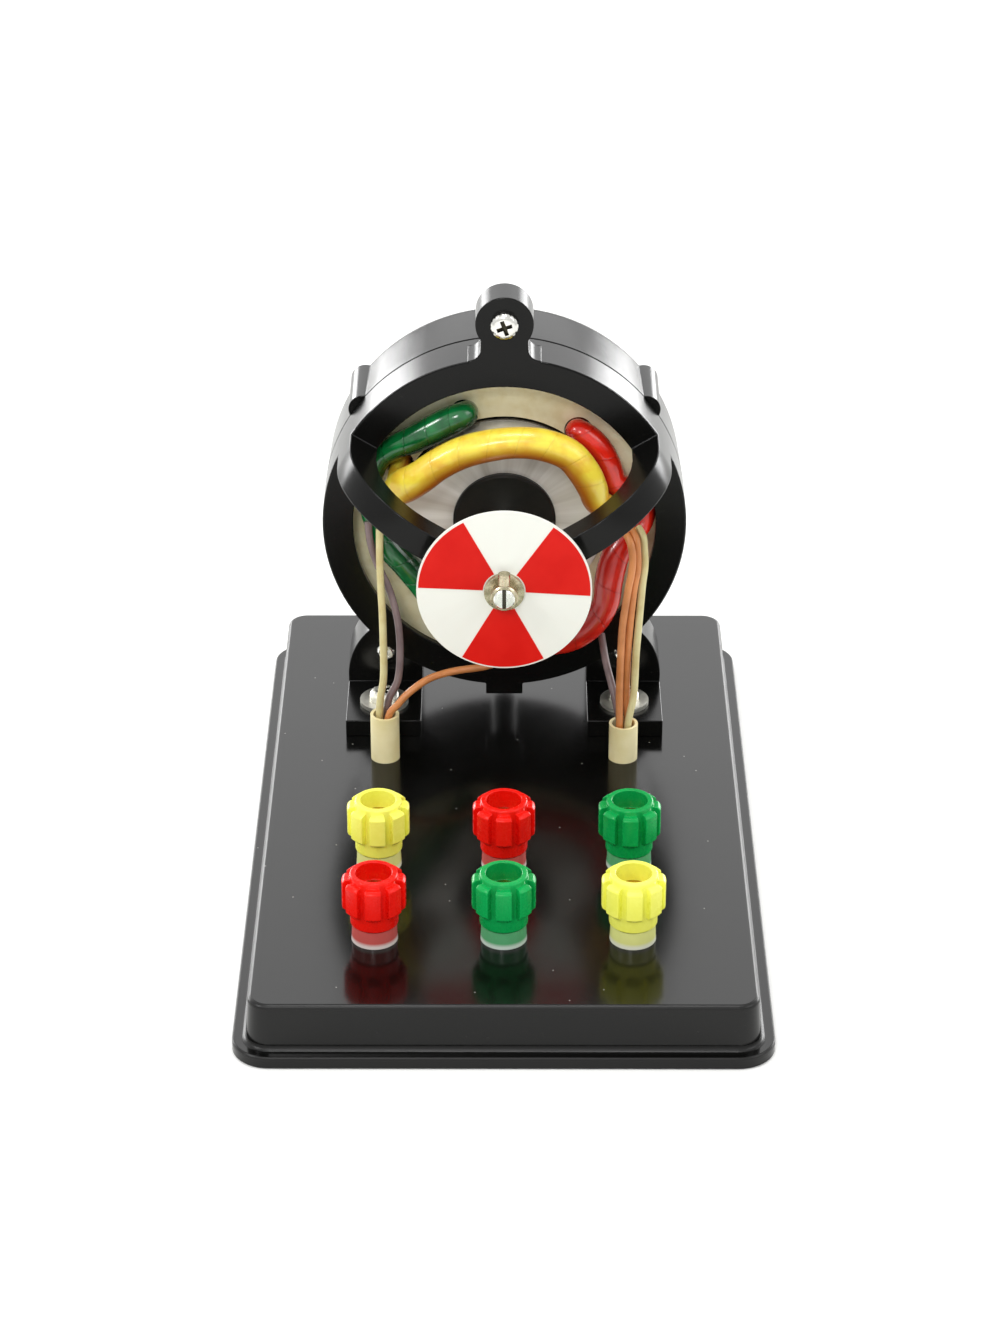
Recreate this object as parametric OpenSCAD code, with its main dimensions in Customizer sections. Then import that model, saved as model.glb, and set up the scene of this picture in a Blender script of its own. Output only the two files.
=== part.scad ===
/* [Base] */
// Overall width of the base, left to right
base_w = 120; // [116:1:140]
// Overall length of the base, front to back
base_l = 190; // [184:1:220]
// Height of the platform above the table
base_h = 14; // [12.5:0.5:20]
// Thickness of the platform and of the side walls
base_t = 2.5; // [2:0.1:3]
// Height of the flange round the foot of the base
flange_h = 3; // [2:0.5:4]
// Width of the flange outside the side walls
flange_w = 3.1; // [2:0.1:4]
// Corner radius of the flange in plan
corner_r = 8.5; // [7.5:0.5:12]
// How far the side walls lean in over their height
base_draft = 0.6; // [0.2:0.1:1.2]
// Radius of the rounded top edge and of the fillet at the foot of the walls
base_edge_r = 1.1; // [0.6:0.1:1.6]

/* [Rotor and shaft] */
// Radius of the rotor
rotor_r = 24.6; // [22:0.1:27]
// Air gap between the rotor and the stator bore
air_gap = 0.5; // [0.3:0.1:0.8]
// Number of bars in the rotor cage
cage_bars = 18; // [12:1:22]
// Diameter of a cage bar
cage_bar_d = 2.4; // [1.6:0.1:3]
// Radius of the black hub on the front of the rotor
rotor_hub_r = 12.4; // [9:0.1:15]
// Thickness of the front end ring of the cage
end_ring_t = 4.5; // [2:0.1:5]
// Diameter of the shaft
shaft_d = 5; // [4:0.1:6]
// Running clearance of the shaft in its bushes, on the radius
running_gap = 0.03; // [0.02:0.01:0.08]
// Outer diameter of the shaft bushes
bush_d = 8; // [7.4:0.1:9]

/* [Stator and coils] */
// Length of the stator core, front to back
core_len = 14; // [12:0.5:18]
// Width of the iron from the slot centres out to the rim of the core
yoke_w = 12.9; // [12.4:0.1:15]
// Thickness of the cream insulation rings on both faces of the core
insulation_t = 2.5; // [1.5:0.1:2.8]
// Diameter of a coil side where it lies in its slot
coil_side_d = 5; // [4.2:0.1:5.4]
// Diameter of the bound front end of the yellow coil
yellow_d = 7.7; // [6.4:0.1:8.2]
// Diameter of the bound front end of the green coil
green_d = 6.6; // [5.6:0.1:7]
// Diameter of the bound front end of the red coil
red_d = 7; // [6:0.1:7.4]
// Diameter of the bound rear ends of the coils
rear_end_d = 5.7; // [5:0.1:6]
// How far the front ends of the coils stand out in front of the core
front_overhang = 15; // [14:0.5:17]

/* [Front frame] */
// Wall of the ring and of the rear shell
wall_t = 2.7; // [2.2:0.1:4]
// Width of the flat front face of the ring
ring_face_w = 7.4; // [6.4:0.1:8]
// Thickness of the front plate of the ring
plate_t = 2; // [1.5:0.1:2.4]
// Depth of the ring, from its front face to the parting plane
ring_len = 13; // [12.5:0.5:16]
// Distance from the front of the hub back to the front face of the ring
arm_reach = 29.5; // [27:0.5:34]
// Angle of the two arms above the horizontal
arm_angle = 32; // [24:1:38]
// Width of an arm, seen from the front
arm_w = 6.5; // [5:0.1:9]
// How far an arm lies below the line through the shaft
arm_drop = 2; // [0:0.1:3]
// Outer radius of the bend between the rim and the front of an arm
arm_bend_r = 22.5; // [18:0.5:26]
// Thickness of an arm
arm_t = 7.6; // [6:0.1:8]
// Diameter of the front hub
hub_d = 14; // [12:0.5:18]
// Length of the front hub
hub_len = 8; // [7.8:0.1:10]
// Radius of the round head of the top lug
lug_r = 6.9; // [6:0.1:8]
// Height of the centre of the top lug above the outside of the ring
lug_rise = 8.6; // [7.8:0.1:11]
// Depth of the top lug, front to back
lug_len = 9; // [7:0.5:10]

/* [Rear frame] */
// Length of the straight part of the rear shell
shell_len = 17.5; // [17:0.5:22]
// Outer radius of the rounded shoulder at the back of the shell
shoulder_r = 7.5; // [6.5:0.1:8.5]
// Gap from the bottom of the ring down to the platform
ground_gap = 10.7; // [9:0.1:14]
// Distance from the middle of the motor to the inner side of a leg
leg_in = 20.5; // [18:0.5:22]
// Distance from the middle of the motor to the outer side of a leg
leg_out = 39; // [37:0.5:41]
// Depth of the legs, front to back
leg_len = 13; // [11:0.5:16]
// Thickness of the foot plates
foot_t = 4.4; // [3.5:0.1:5]
// How far the foot plates reach forward of the legs
foot_reach = 20; // [19:0.5:24]
// Distance from the middle of the motor to the centre of a foot screw
foot_screw_x = 29.8; // [28:0.1:31]
// Distance from the front edge of a foot to the centre of its screw
foot_screw_in = 9.5; // [7:0.1:11]

/* [Indicator disc] */
// Radius of the indicator disc
disc_r = 20.5; // [17:0.1:23]
// Thickness of the indicator disc
disc_t = 0.8; // [0.6:0.1:1.5]
// Gap between the disc and the front hub
disc_gap = 3.7; // [2.5:0.1:6]
// Diameter of the boss that holds the disc on the shaft
boss_d = 6.5; // [6:0.1:8.5]
// Length of that boss in front of the disc
boss_len = 4.2; // [4:0.1:5]

/* [Binding posts] */
// Distance between neighbouring posts in a row
post_pitch = 29; // [24:0.5:32]
// Distance of the front row from the front edge of the base
post_inset = 31.5; // [24:0.5:34]
// Distance between the two rows of posts
row_pitch = 31.5; // [28:0.5:34]
// Diameter of the plug hole down each post
socket_d = 4; // [3.8:0.1:4.2]
// Outer diameter of the threaded stud
stud_d = 6; // [5.6:0.1:6.4]
// Height of the clear skirt on the platform
skirt_h = 4.2; // [3.5:0.1:6]
// Diameter of the clear skirt
skirt_d = 10.5; // [9.8:0.1:12]
// Diameter over the teeth of a knob
knob_d = 14.4; // [13.6:0.1:18]
// Diameter of the plain collars of a knob
knob_collar_d = 10.9; // [10.4:0.1:12]
// Height of a whole knob
knob_h = 12.8; // [12:0.1:16]
// Height of the toothed part of a knob
tooth_h = 8; // [6:0.1:8.4]
// Number of teeth round a knob
knob_teeth = 8; // [6:1:10]
// Angle that one tooth takes up
tooth_angle = 30; // [22:1:34]
// Diameter of the open mouth in the top of a knob
mouth_d = 8.2; // [7.8:0.1:9]
// Travel of a knob up its stud
knob_travel = 4; // [2:0.5:5]

/* [Wires] */
// Distance from the middle of the motor to a wire sleeve
sleeve_x = 29; // [28.6:0.1:29.4]
// Outer diameter of a wire sleeve
sleeve_d = 7; // [6.8:0.1:8]
// Wall of a wire sleeve
sleeve_t = 0.7; // [0.4:0.1:0.8]
// Height of the left sleeve above the platform
left_sleeve_h = 12; // [10:0.5:13]
// Height of the right sleeve above the platform
right_sleeve_h = 9.5; // [7:0.5:11]
// Diameter of the connecting wires
wire_d = 1.8; // [1.4:0.1:1.9]

/* [Hidden] */

// Roundness of large and of small turned faces
big_fn = 120;
small_fn = 48;

// Clearances: loose hole, pressed piece, flat faces on different bodies
hole_gap = 0.1;
press_gap = 0.02;
face_gap = 0.2;
coil_gap = 0.5;

// Colours of the real materials
gloss_black = "#1b1b1b";
cream = "#e6d8a4";
steel = "#c9c6bd";
iron = "#8d8a86";
brass = "#c9a24a";
yellow = "#f4ee2e";
red = "#d8241c";
green = "#12813f";

// Radii of the motor, from the rotor outwards
bore_r = rotor_r + air_gap;
slot_hole_r = coil_side_d / 2 + 0.3;
tooth_tip = 0.3;
slot_r = bore_r + slot_hole_r + tooth_tip;
core_r = slot_r + yoke_w;
cavity_r = core_r + hole_gap;
ring_r = cavity_r + wall_t;
window_r = ring_r - ring_face_w;

// Height of the shaft and places along it, from the front face of the disc backwards
axis_z = base_h + ground_gap + ring_r;
hub_y = disc_t + disc_gap;
ring_y = hub_y + arm_reach;
part_y = ring_y + ring_len;
shoulder_y = part_y + shell_len;
rear_y = shoulder_y + shoulder_r;
rear_wall_t = 2.1;
rear_inner_y = rear_y - rear_wall_t;
rear_boss_len = 6;
rear_boss_r = 9;
rear_end_y = rear_y + rear_boss_len;
shell_draft = 0.5;
rear_overhang = 11.9;
core_y = rear_inner_y - rear_overhang - core_len;
core_end_y = core_y + core_len;
edge = 0.3;

// Angles of the two slots of each coil
yellow_slots = [153, 3];
green_slots = [110, 250];
red_slots = [51, -90];
slot_mouth = 2;

// Rotor lengths
rotor_extra = 2;
rotor_y = core_y - rotor_extra;
rotor_end_y = core_end_y + rotor_extra;
rotor_front_y = rotor_y - end_ring_t;
rear_ring_t = 2;
hub_stand = 1.5;
cage_r = rotor_r - cage_bar_d / 2 - 0.9;

// Shaft, washers and clips
shaft_r = shaft_d / 2;
bush_r = bush_d / 2;
shaft_front = 0.5;
shaft_y0 = -boss_len - shaft_front;
shaft_y1 = rear_end_y - 1;
slot_w = 0.9;
slot_depth = 1;
washer_t = 0.5;
clip_t = 0.8;
clip_r = shaft_r + 1.5;

// Indicator disc
disc_rim = 0.4;
flange_r = boss_d / 2 + 1.45;
flange_t = 1;
film_t = 0.12;
sector_in_r = flange_r + 0.3;
sectors = [[177.5, 118], [55.5, -3.5], [-62.5, -119.5]];
set_screw_d = 2.8;
set_screw_out = 2.6;

// Legs, feet and lugs
leg_arc_r = 17;
leg_arc_z = base_h + 6.5;
leg_hole_z = base_h + 13.3;
leg_screw_x = (leg_in + leg_out) / 2 - 0.25;
rear_lug_r = 3.6;
rear_lug_c = ring_r - 1.8;
rear_screw_c = ring_r - 0.1;
rear_lug_y = part_y;
rear_lug_end = shoulder_y + 1;
rear_lugs = [36, 144, 270];
bottom_lug_w = 9;
bottom_lug_drop = 2.6;
bottom_lug_len = 8;
lug_neck_w = 11.2;
lug_c = ring_r + lug_rise;

// Screws: diameters of shank and head
foot_screw_d = 3.8;
foot_head_d = 7.2;
foot_head_h = 2.4;
foot_washer_r = 6;
foot_washer_t = 1;
lug_screw_d = 2.9;
lug_head_d = 6.7;
clamp_screw_d = 2.6;
clamp_head_d = 4.8;
rear_screw_d = 2.2;
rear_head_d = 3.6;
clamp_screw_len = 8;
rear_screw_len = 8;
nut_h = 2.4;
lug_nut_w = 5.5;
foot_nut_w = 7;
stud_nut_w = 10;

// Binding posts
post_xs = [-post_pitch, 0, post_pitch];
front_row_y = -base_l / 2 + post_inset;
back_row_y = front_row_y + row_pitch;
stud_collar_r = stud_d / 2 + 0.6;
stud_tail = 10.8;
stud_foot_z = base_h - stud_tail;
knob_z = base_h + skirt_h + face_gap;
knob_top_z = knob_z + knob_h;
tooth_z = knob_top_z - 1.2 - tooth_h;
socket_depth = 18;
insert_r = stud_d / 2 + 1;
insert_z0 = knob_z + 1;
thread_hold = 3.6;
stud_top_z = insert_z0 + thread_hold + knob_travel;
insert_z1 = stud_top_z - 0.3;
tag_t = 0.6;
under_z = base_h - base_t;
tag_z = under_z - nut_h - tag_t;
tag_len = 10;
tag_r = stud_d / 2 + 1.3;

// Sleeves and wires
sleeve_y = 17.1;
sleeve_z0 = under_z - 2;
wire_r = wire_d / 2;

// Half sizes between the corner centres of the base
corner_x = base_w / 2 - corner_r;
corner_y = base_l / 2 - corner_r;

// Routes of the wires, each a list of round points from its coil to its solder tag
route_left_yellow = [
    [-30, 30.5, 69.4], [-30, 28.2, 63], [-29.8, 26.2, 56.8], [-29.4, 23.6, 50],
    [-29.2, 21, 43.5], [-29.2, 18.8, 35], [-30.2, 17.1, 27.5], [-30.2, 17.1, 8.6],
    [-30, 14, 6], [-29, -19, 6], [-29, -23.6, 6.4], [-29, -23.6, 8.3]
];
route_left_purple = [
    [-32.8, 31.8, 70.8], [-32.2, 30.5, 65.5], [-30.6, 30, 60], [-27.8, 27.6, 54.6],
    [-25.8, 24.4, 48], [-25.2, 21.4, 41], [-25.8, 19.4, 34], [-28.4, 18.3, 27],
    [-28.4, 18.3, 7.5], [-31, 14, 3.6], [-37, 4, 3.6], [-37, -49, 3.6],
    [-29.4, -55.2, 6], [-29, -55.2, 8.3]
];
route_left_orange = [
    [1.2, 32.3, 36.2], [-1.6, 29.4, 33.8], [-5.4, 26.8, 33.6], [-12, 23, 34.6],
    [-18, 20, 34.2], [-22.6, 17.6, 32], [-25.6, 16.3, 29.2], [-28.3, 15.9, 24.5],
    [-28.3, 15.9, 8.6], [-26.5, 12.5, 6], [-2.4, -19, 6], [-1, -23.6, 6.4], [-1, -23.6, 8.3]
];
route_right_purple = [
    [23.7, 30.9, 40.6], [24.6, 26.2, 36.2], [26, 22.2, 31.8], [27.2, 19.4, 27.4],
    [28, 18.1, 23], [28, 18.1, 9], [25.6, 18.4, 7], [20, -10, 6.8], [9.5, -40, 6.4],
    [0.4, -55.2, 6], [0, -55.2, 8.3]
];
route_right_orange_a = [
    [28.9, 29, 69.2], [30.1, 26.4, 68], [30.7, 24.6, 65], [30.5, 23.6, 61.3],
    [29.6, 22.2, 56.6], [28.5, 20.6, 48.5], [28.1, 19, 40.7], [27.9, 18, 30.7],
    [28, 16.4, 25], [28, 16.1, 22], [28, 16.1, 6.8], [25, 11, 4], [3, -19.4, 4], [1, -23.6, 5.6], [1, -23.6, 8.3]
];
route_right_orange_b = [
    [30.7, 30.2, 69.4], [31.6, 27.6, 68], [31.9, 26.2, 65.6], [32, 25.3, 61.5],
    [31.2, 24, 56.6], [30.3, 21.8, 47.9], [29.8, 20.6, 40.1], [29.6, 19.8, 30.4],
    [29.9, 18.5, 24.8], [30, 18.1, 22], [30, 18.1, 7], [32, 14, 4], [37, 4, 4], [37, -49, 4], [29.4, -55.2, 6], [29, -55.2, 8.3]
];
route_right_cream = [
    [32.2, 31.6, 69.4], [33.3, 29.4, 68], [33.6, 28.1, 65.6], [33.8, 27, 61.5],
    [33.2, 25.4, 56.6], [32.4, 22.2, 47.8], [31.8, 20.2, 40.3], [31.4, 18.3, 30.9],
    [30.2, 16.3, 25], [30, 16.1, 22], [30, 16.1, 8.6], [30, 13, 6], [29, -19, 6],
    [29, -23.6, 6.4], [29, -23.6, 8.3]
];

// Unit vector along v
function unit(v) = v / norm(v);

// Points of an arc about c, from angle a0 to a1 in n steps
function arc(c, r, a0, a1, n) = [
    for (i = [0 : n])
        let (a = a0 + (a1 - a0) * i / n)
            [c[0] + r * cos(a), c[1] + r * sin(a)]
];

// Point on the smooth curve through four stations, t from 0 to 1 between the middle two
function curve(p0, p1, p2, p3, t) = 0.5 * (
    2 * p1 + (p2 - p0) * t
    + (2 * p0 - 5 * p1 + 4 * p2 - p3) * t * t
    + (3 * p1 - p0 - 3 * p2 + p3) * t * t * t
);

// Station given as angle, radius, distance back and tube radius, as a place and tube radius
function place(s) = [s[1] * cos(s[0]), s[2], axis_z + s[1] * sin(s[0]), s[3]];

// Closed list of smooth points through the stations
function smooth_loop(stations, steps) =
    let (p = [for (s = stations) place(s)], n = len(p))
        [for (i = [0 : n - 1], k = [0 : steps - 1])
            curve(p[(i + n - 1) % n], p[i], p[(i + 1) % n], p[(i + 2) % n], k / steps)];

// Side directions carried along an open route without twist
function carried(dirs) = [
    for (
        i = 0, side = unit(cross(dirs[0], abs(dirs[0][2]) < 0.9 ? [0, 0, 1] : [1, 0, 0]));
        i < len(dirs);
        i = i + 1, side = i < len(dirs) ? unit(side - (side * dirs[i]) * dirs[i]) : side
    ) side
];

// Directions of travel at each point of an open route
function route_dirs(p) = [
    for (i = [0 : len(p) - 1])
        i == 0 ? unit(p[1] - p[0])
        : i == len(p) - 1 ? unit(p[i] - p[i - 1])
        : unit(unit(p[i + 1] - p[i]) + unit(p[i] - p[i - 1]))
];

// Triangles between ring i and ring j of m points each
function band(i, j, m) = [
    for (k = [0 : m - 1], half = [0, 1])
        let (a = i * m + k, b = i * m + (k + 1) % m, c = j * m + k, d = j * m + (k + 1) % m)
            half == 0 ? [a, d, b] : [a, c, d]
];

// Wire of round section along an open route
module wire(route, r, sides = 8) {
    dirs = route_dirs(route);
    side = carried(dirs);
    n = len(route);
    points = [
        for (i = [0 : n - 1], k = [0 : sides - 1])
            let (up = cross(dirs[i], side[i]), a = 360 * k / sides)
                route[i] + r * (cos(a) * side[i] + sin(a) * up)
    ];
    walls = [for (i = [0 : n - 2]) each band(i, i + 1, sides)];
    caps = [
        for (k = [1 : sides - 2]) [0, k, k + 1],
        for (k = [1 : sides - 2]) [(n - 1) * sides, (n - 1) * sides + k + 1, (n - 1) * sides + k]
    ];
    polyhedron(points, concat(walls, caps));
}

// Bound coil as one closed smooth tube whose thickness follows the stations
module bound_coil(stations, steps = 2, sides = 14) {
    loop = smooth_loop(stations, steps);
    n = len(loop);
    mids = [for (p = loop) [p[0], p[1], p[2]]];
    points = [
        for (i = [0 : n - 1])
            let (
                dir = unit(mids[(i + 1) % n] - mids[(i + n - 1) % n]),
                out = unit([mids[i][0], 0, mids[i][2] - axis_z]),
                side = unit(out - (out * dir) * dir),
                up = cross(dir, side)
            )
                for (k = [0 : sides - 1])
                    let (a = 360 * k / sides)
                        mids[i] + loop[i][3] * (cos(a) * side + sin(a) * up)
    ];
    polyhedron(points, [for (i = [0 : n - 1]) each band(i, (i + 1) % n, sides)]);
}

// Profile of radius and distance back, turned about the motor axis
module turned(points, fn = big_fn) {
    translate([0, 0, axis_z])
        rotate([-90, 0, 0])
            rotate_extrude($fn = fn)
                polygon(points);
}

// Tube about the motor axis between two distances back
module collar(r_out, r_in, y0, y1, fn = small_fn) {
    turned([[r_in, y0], [r_out, y0], [r_out, y1], [r_in, y1]], fn);
}

// Round rod along Y, centred at x and z
module rod_y(x, z, r, y0, y1, fn = small_fn) {
    translate([x, y0, z])
        rotate([-90, 0, 0])
            cylinder(r = r, h = y1 - y0, $fn = fn);
}

// Upright round rod
module rod_z(x, y, r, z0, z1, fn = small_fn) {
    translate([x, y, z0])
        cylinder(r = r, h = z1 - z0, $fn = fn);
}

// Front view drawn about the motor axis, given depth from y0 back to y1
module axis_view(y0, y1) {
    translate([0, y1, axis_z])
        rotate([90, 0, 0])
            linear_extrude(y1 - y0)
                children();
}

// Front view drawn in real heights, given depth from y0 back to y1
module standing_view(y0, y1) {
    translate([0, y1, 0])
        rotate([90, 0, 0])
            linear_extrude(y1 - y0)
                children();
}

// Screw with a pan head at the origin, its shank pointing down, and a cross recess
module pan_screw(head_d, head_h, shank_d, length) {
    recess_w = head_d * 0.14;
    recess_l = head_d * 0.56;
    recess_h = head_h * 0.5;
    head_round = head_h * 0.6;
    difference() {
        rotate_extrude($fn = small_fn)
            polygon(concat(
                [[0, -length], [shank_d / 2 - edge, -length], [shank_d / 2, -length + edge]],
                [[shank_d / 2, 0], [head_d / 2, 0]],
                arc([head_d / 2 - head_round, head_h - head_round], head_round, 0, 90, 4),
                [[0, head_h]]
            ));
        for (turn = [0, 90])
            rotate([0, 0, turn])
                translate([-recess_l / 2, -recess_w / 2, head_h - recess_h])
                    cube([recess_l, recess_w, recess_h + 1]);
    }
}

// Hexagon nut standing on the origin with a round hole
module hex_nut(across, hole_r, h) {
    difference() {
        cylinder(d = across / cos(30), h = h, $fn = 6);
        translate([0, 0, -1])
            cylinder(r = hole_r, h = h + 2, $fn = small_fn);
    }
}

// Section of the rim of the base: distance out from a corner centre, and height
function base_section() =
    let (
        wall_out = corner_r - flange_w,
        top_out = wall_out - base_draft,
        lip = 0.5
    )
        concat(
            [[0, under_z], [0, base_h]],
            arc([top_out - base_edge_r, base_h - base_edge_r], base_edge_r, 90, 0, 5),
            arc([wall_out + base_edge_r, flange_h + base_edge_r], base_edge_r, 180, 270, 5),
            arc([corner_r - lip, flange_h - lip], lip, 90, 0, 3),
            [[corner_r, edge], [corner_r - edge, 0], [wall_out - base_t, 0]],
            [[top_out - base_t, under_z]]
        );

module base_tray() {
    color(gloss_black)
        difference() {
            union() {
                for (sx = [0, 1], sy = [0, 1])
                    mirror([sx, 0, 0])
                        mirror([0, sy, 0])
                            translate([corner_x, corner_y, 0])
                                rotate_extrude(angle = 90, $fn = big_fn)
                                    polygon(base_section());
                for (sx = [0, 1])
                    mirror([sx, 0, 0])
                        translate([corner_x, corner_y, 0])
                            rotate([90, 0, 0])
                                linear_extrude(2 * corner_y)
                                    polygon(base_section());
                for (sy = [0, 1])
                    mirror([0, sy, 0])
                        translate([-corner_x, corner_y, 0])
                            rotate([90, 0, 90])
                                linear_extrude(2 * corner_x)
                                    polygon(base_section());
                translate([-corner_x, -corner_y, under_z])
                    cube([2 * corner_x, 2 * corner_y, base_t]);
            }
            for (x = post_xs, y = [front_row_y, back_row_y])
                rod_z(x, y, stud_d / 2 + hole_gap, under_z - 1, base_h + 1);
            for (side = [-1, 1]) {
                rod_z(side * sleeve_x, sleeve_y, sleeve_d / 2 + hole_gap, under_z - 1, base_h + 1);
                rod_z(side * foot_screw_x, foot_screw_y(), foot_screw_d / 2 + hole_gap,
                    under_z - 1, base_h + 1);
            }
        }
}

// Distance back of the foot screws
function foot_screw_y() = part_y - foot_reach + foot_screw_in;

// Front view of the right leg, its outer edge an arc that runs up to the shell
module leg_outline() {
    arc_x = leg_out - leg_arc_r;
    intersection() {
        translate([arc_x, leg_arc_z])
            circle(r = leg_arc_r, $fn = big_fn);
        translate([leg_in, leg_arc_z])
            square([leg_arc_r * 2, leg_arc_r * 2]);
    }
    translate([leg_in, base_h])
        square([leg_out - leg_in, leg_arc_z - base_h]);
}

module rear_frame() {
    inner_shoulder_r = shoulder_r - rear_wall_t - 0.3;
    inner_c = [cavity_r - inner_shoulder_r, rear_inner_y - inner_shoulder_r];
    color(gloss_black)
        difference() {
            union() {
                turned(concat(
                    [[0, part_y], [ring_r - edge, part_y], [ring_r, part_y + edge]],
                    arc([ring_r - shell_draft - shoulder_r, shoulder_y], shoulder_r, 0, 90, 10),
                    [[rear_boss_r + 2, rear_y], [rear_boss_r, rear_y + 2]],
                    [[rear_boss_r, rear_end_y - edge], [rear_boss_r - edge, rear_end_y]],
                    [[0, rear_end_y]]
                ));
                for (a = rear_lugs)
                    rod_y(rear_lug_c * cos(a), axis_z + rear_lug_c * sin(a), rear_lug_r,
                        rear_lug_y, rear_lug_end);
                for (sx = [0, 1])
                    mirror([sx, 0, 0]) {
                        standing_view(part_y, part_y + leg_len)
                            leg_outline();
                        translate([leg_in, part_y - foot_reach, base_h])
                            cube([leg_out - leg_in, foot_reach + leg_len, foot_t]);
                    }
            }
            turned(concat(
                [[0, part_y - 1], [cavity_r, part_y - 1]],
                arc(inner_c, inner_shoulder_r, 0, 90, 8),
                [[0, rear_inner_y]]
            ));
            rod_y(0, axis_z, bush_r + press_gap, rear_inner_y - 1, rear_end_y + 1);
            for (a = rear_lugs) {
                x = rear_screw_c * cos(a);
                z = axis_z + rear_screw_c * sin(a);
                rod_y(x, z, rear_screw_d / 2 + press_gap, rear_lug_end - rear_screw_len - 1, rear_lug_end + 1);
                rod_y(x, z, rear_head_d / 2 + hole_gap, rear_lug_end, rear_lug_end + 8);
            }
            for (side = [-1, 1]) {
                rod_y(side * leg_screw_x, leg_hole_z, clamp_screw_d / 2 + press_gap,
                    part_y - 1, part_y + clamp_screw_len + 1);
                rod_z(side * foot_screw_x, foot_screw_y(), foot_screw_d / 2 + hole_gap,
                    base_h - 1, base_h + foot_t + 1);
            }
        }
}

// Side profile of an arm: out along the front, round the bend and back along the rim
function arm_profile() =
    let (
        bend_c = [ring_r - arm_bend_r, hub_y + arm_bend_r],
        inner_r = arm_bend_r - arm_t
    )
        concat(
            [[0, hub_y]],
            arc(bend_c, arm_bend_r, -90, 0, 14),
            [[ring_r, ring_y + edge], [window_r, ring_y + edge]],
            [[window_r, hub_y + arm_bend_r]],
            arc(bend_c, inner_r, 0, -90, 12),
            [[0, hub_y + arm_t]]
        );

module front_frame() {
    color(gloss_black)
        difference() {
            union() {
                turned([
                    [window_r, ring_y], [ring_r - edge, ring_y], [ring_r, ring_y + edge],
                    [ring_r, part_y - edge], [ring_r - edge, part_y], [cavity_r, part_y],
                    [cavity_r, ring_y + plate_t], [window_r, ring_y + plate_t]
                ]);
                intersection() {
                    turned(arm_profile());
                    axis_view(hub_y - 1, ring_y + 1)
                        for (sx = [0, 1])
                            mirror([sx, 0])
                                rotate(arm_angle)
                                    translate([0, -arm_drop - arm_w / 2])
                                        square([ring_r + 5, arm_w]);
                }
                turned([
                    [0, hub_y], [hub_d / 2 - edge * 2, hub_y], [hub_d / 2, hub_y + edge * 2],
                    [hub_d / 2, hub_y + hub_len], [0, hub_y + hub_len]
                ]);
                difference() {
                    axis_view(ring_y, ring_y + lug_len) {
                        translate([0, lug_c])
                            circle(r = lug_r, $fn = big_fn);
                        translate([-lug_neck_w / 2, cavity_r + 1])
                            square([lug_neck_w, lug_c - cavity_r - 1]);
                        difference() {
                            translate([-lug_neck_w / 2 - 3, ring_r - 2])
                                square([lug_neck_w + 6, 4]);
                            for (side = [-1, 1])
                                translate([side * (lug_neck_w / 2 + 3), ring_r + 2.4])
                                    circle(r = 3, $fn = big_fn);
                        }
                    }
                    rod_y(0, axis_z + lug_c, lug_screw_d / 2 + hole_gap, ring_y - 1, part_y);
                }
                difference() {
                    axis_view(ring_y, ring_y + bottom_lug_len)
                        translate([-bottom_lug_w / 2, -ring_r - bottom_lug_drop])
                            square([bottom_lug_w, bottom_lug_drop + 2]);
                    collar(cavity_r, 0, ring_y - 1, part_y, big_fn);
                }
            }
            rod_y(0, axis_z, bush_r + press_gap, hub_y - 1, hub_y + hub_len + 1);
        }
}

// Front view of all the slots, each a round hole with a narrow mouth towards the rotor
module slot_view(extra = 0) {
    for (a = concat(yellow_slots, green_slots, red_slots))
        rotate(a) {
            translate([slot_r, 0])
                circle(r = slot_hole_r + extra, $fn = small_fn);
            translate([bore_r - 1, -slot_mouth / 2])
                square([slot_r - bore_r, slot_mouth]);
        }
}

module stator_core() {
    color(iron)
        axis_view(core_y, core_end_y)
            difference() {
                circle(r = core_r, $fn = big_fn);
                circle(r = bore_r, $fn = big_fn);
                slot_view();
            }
}

// Insulation ring on one face of the core, a little wider open than the core
module insulation(y0) {
    color(cream)
        axis_view(y0, y0 + insulation_t)
            difference() {
                circle(r = core_r - hole_gap, $fn = big_fn);
                circle(r = bore_r + 0.4, $fn = big_fn);
                slot_view(0.6);
            }
}

module front_insulation() {
    insulation(core_y - insulation_t);
}

module rear_insulation() {
    insulation(core_end_y);
}

// Stations that every coil shares: one side of the coil, running from the front to the back
function side_back(a) = [for (t = [0, 0.5, 1]) [a, slot_r, core_y + t * core_len, coil_side_d / 2]];

// The same, running from the back to the front
function side_front(a) = [for (t = [1, 0.5, 0]) [a, slot_r, core_y + t * core_len, coil_side_d / 2]];

// Place of a crossing bundle: outside the coil side it passes, behind the front plate
cross_tube = 2.75;
cross_r = slot_r + coil_side_d / 2 + cross_tube + coil_gap;
cross_y = core_y - insulation_t - cross_tube - 0.4;
front_y = core_y - front_overhang;
rear_tube = rear_end_d / 2;
rear_cross_r = slot_r + coil_side_d / 2 + rear_tube + coil_gap + 0.6;
rear_cross_y = core_end_y + insulation_t + rear_tube + 0.5;
rear_yellow_r = slot_r - 2.6;
rear_yellow_y = rear_inner_y - rear_tube - coil_gap;

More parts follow.
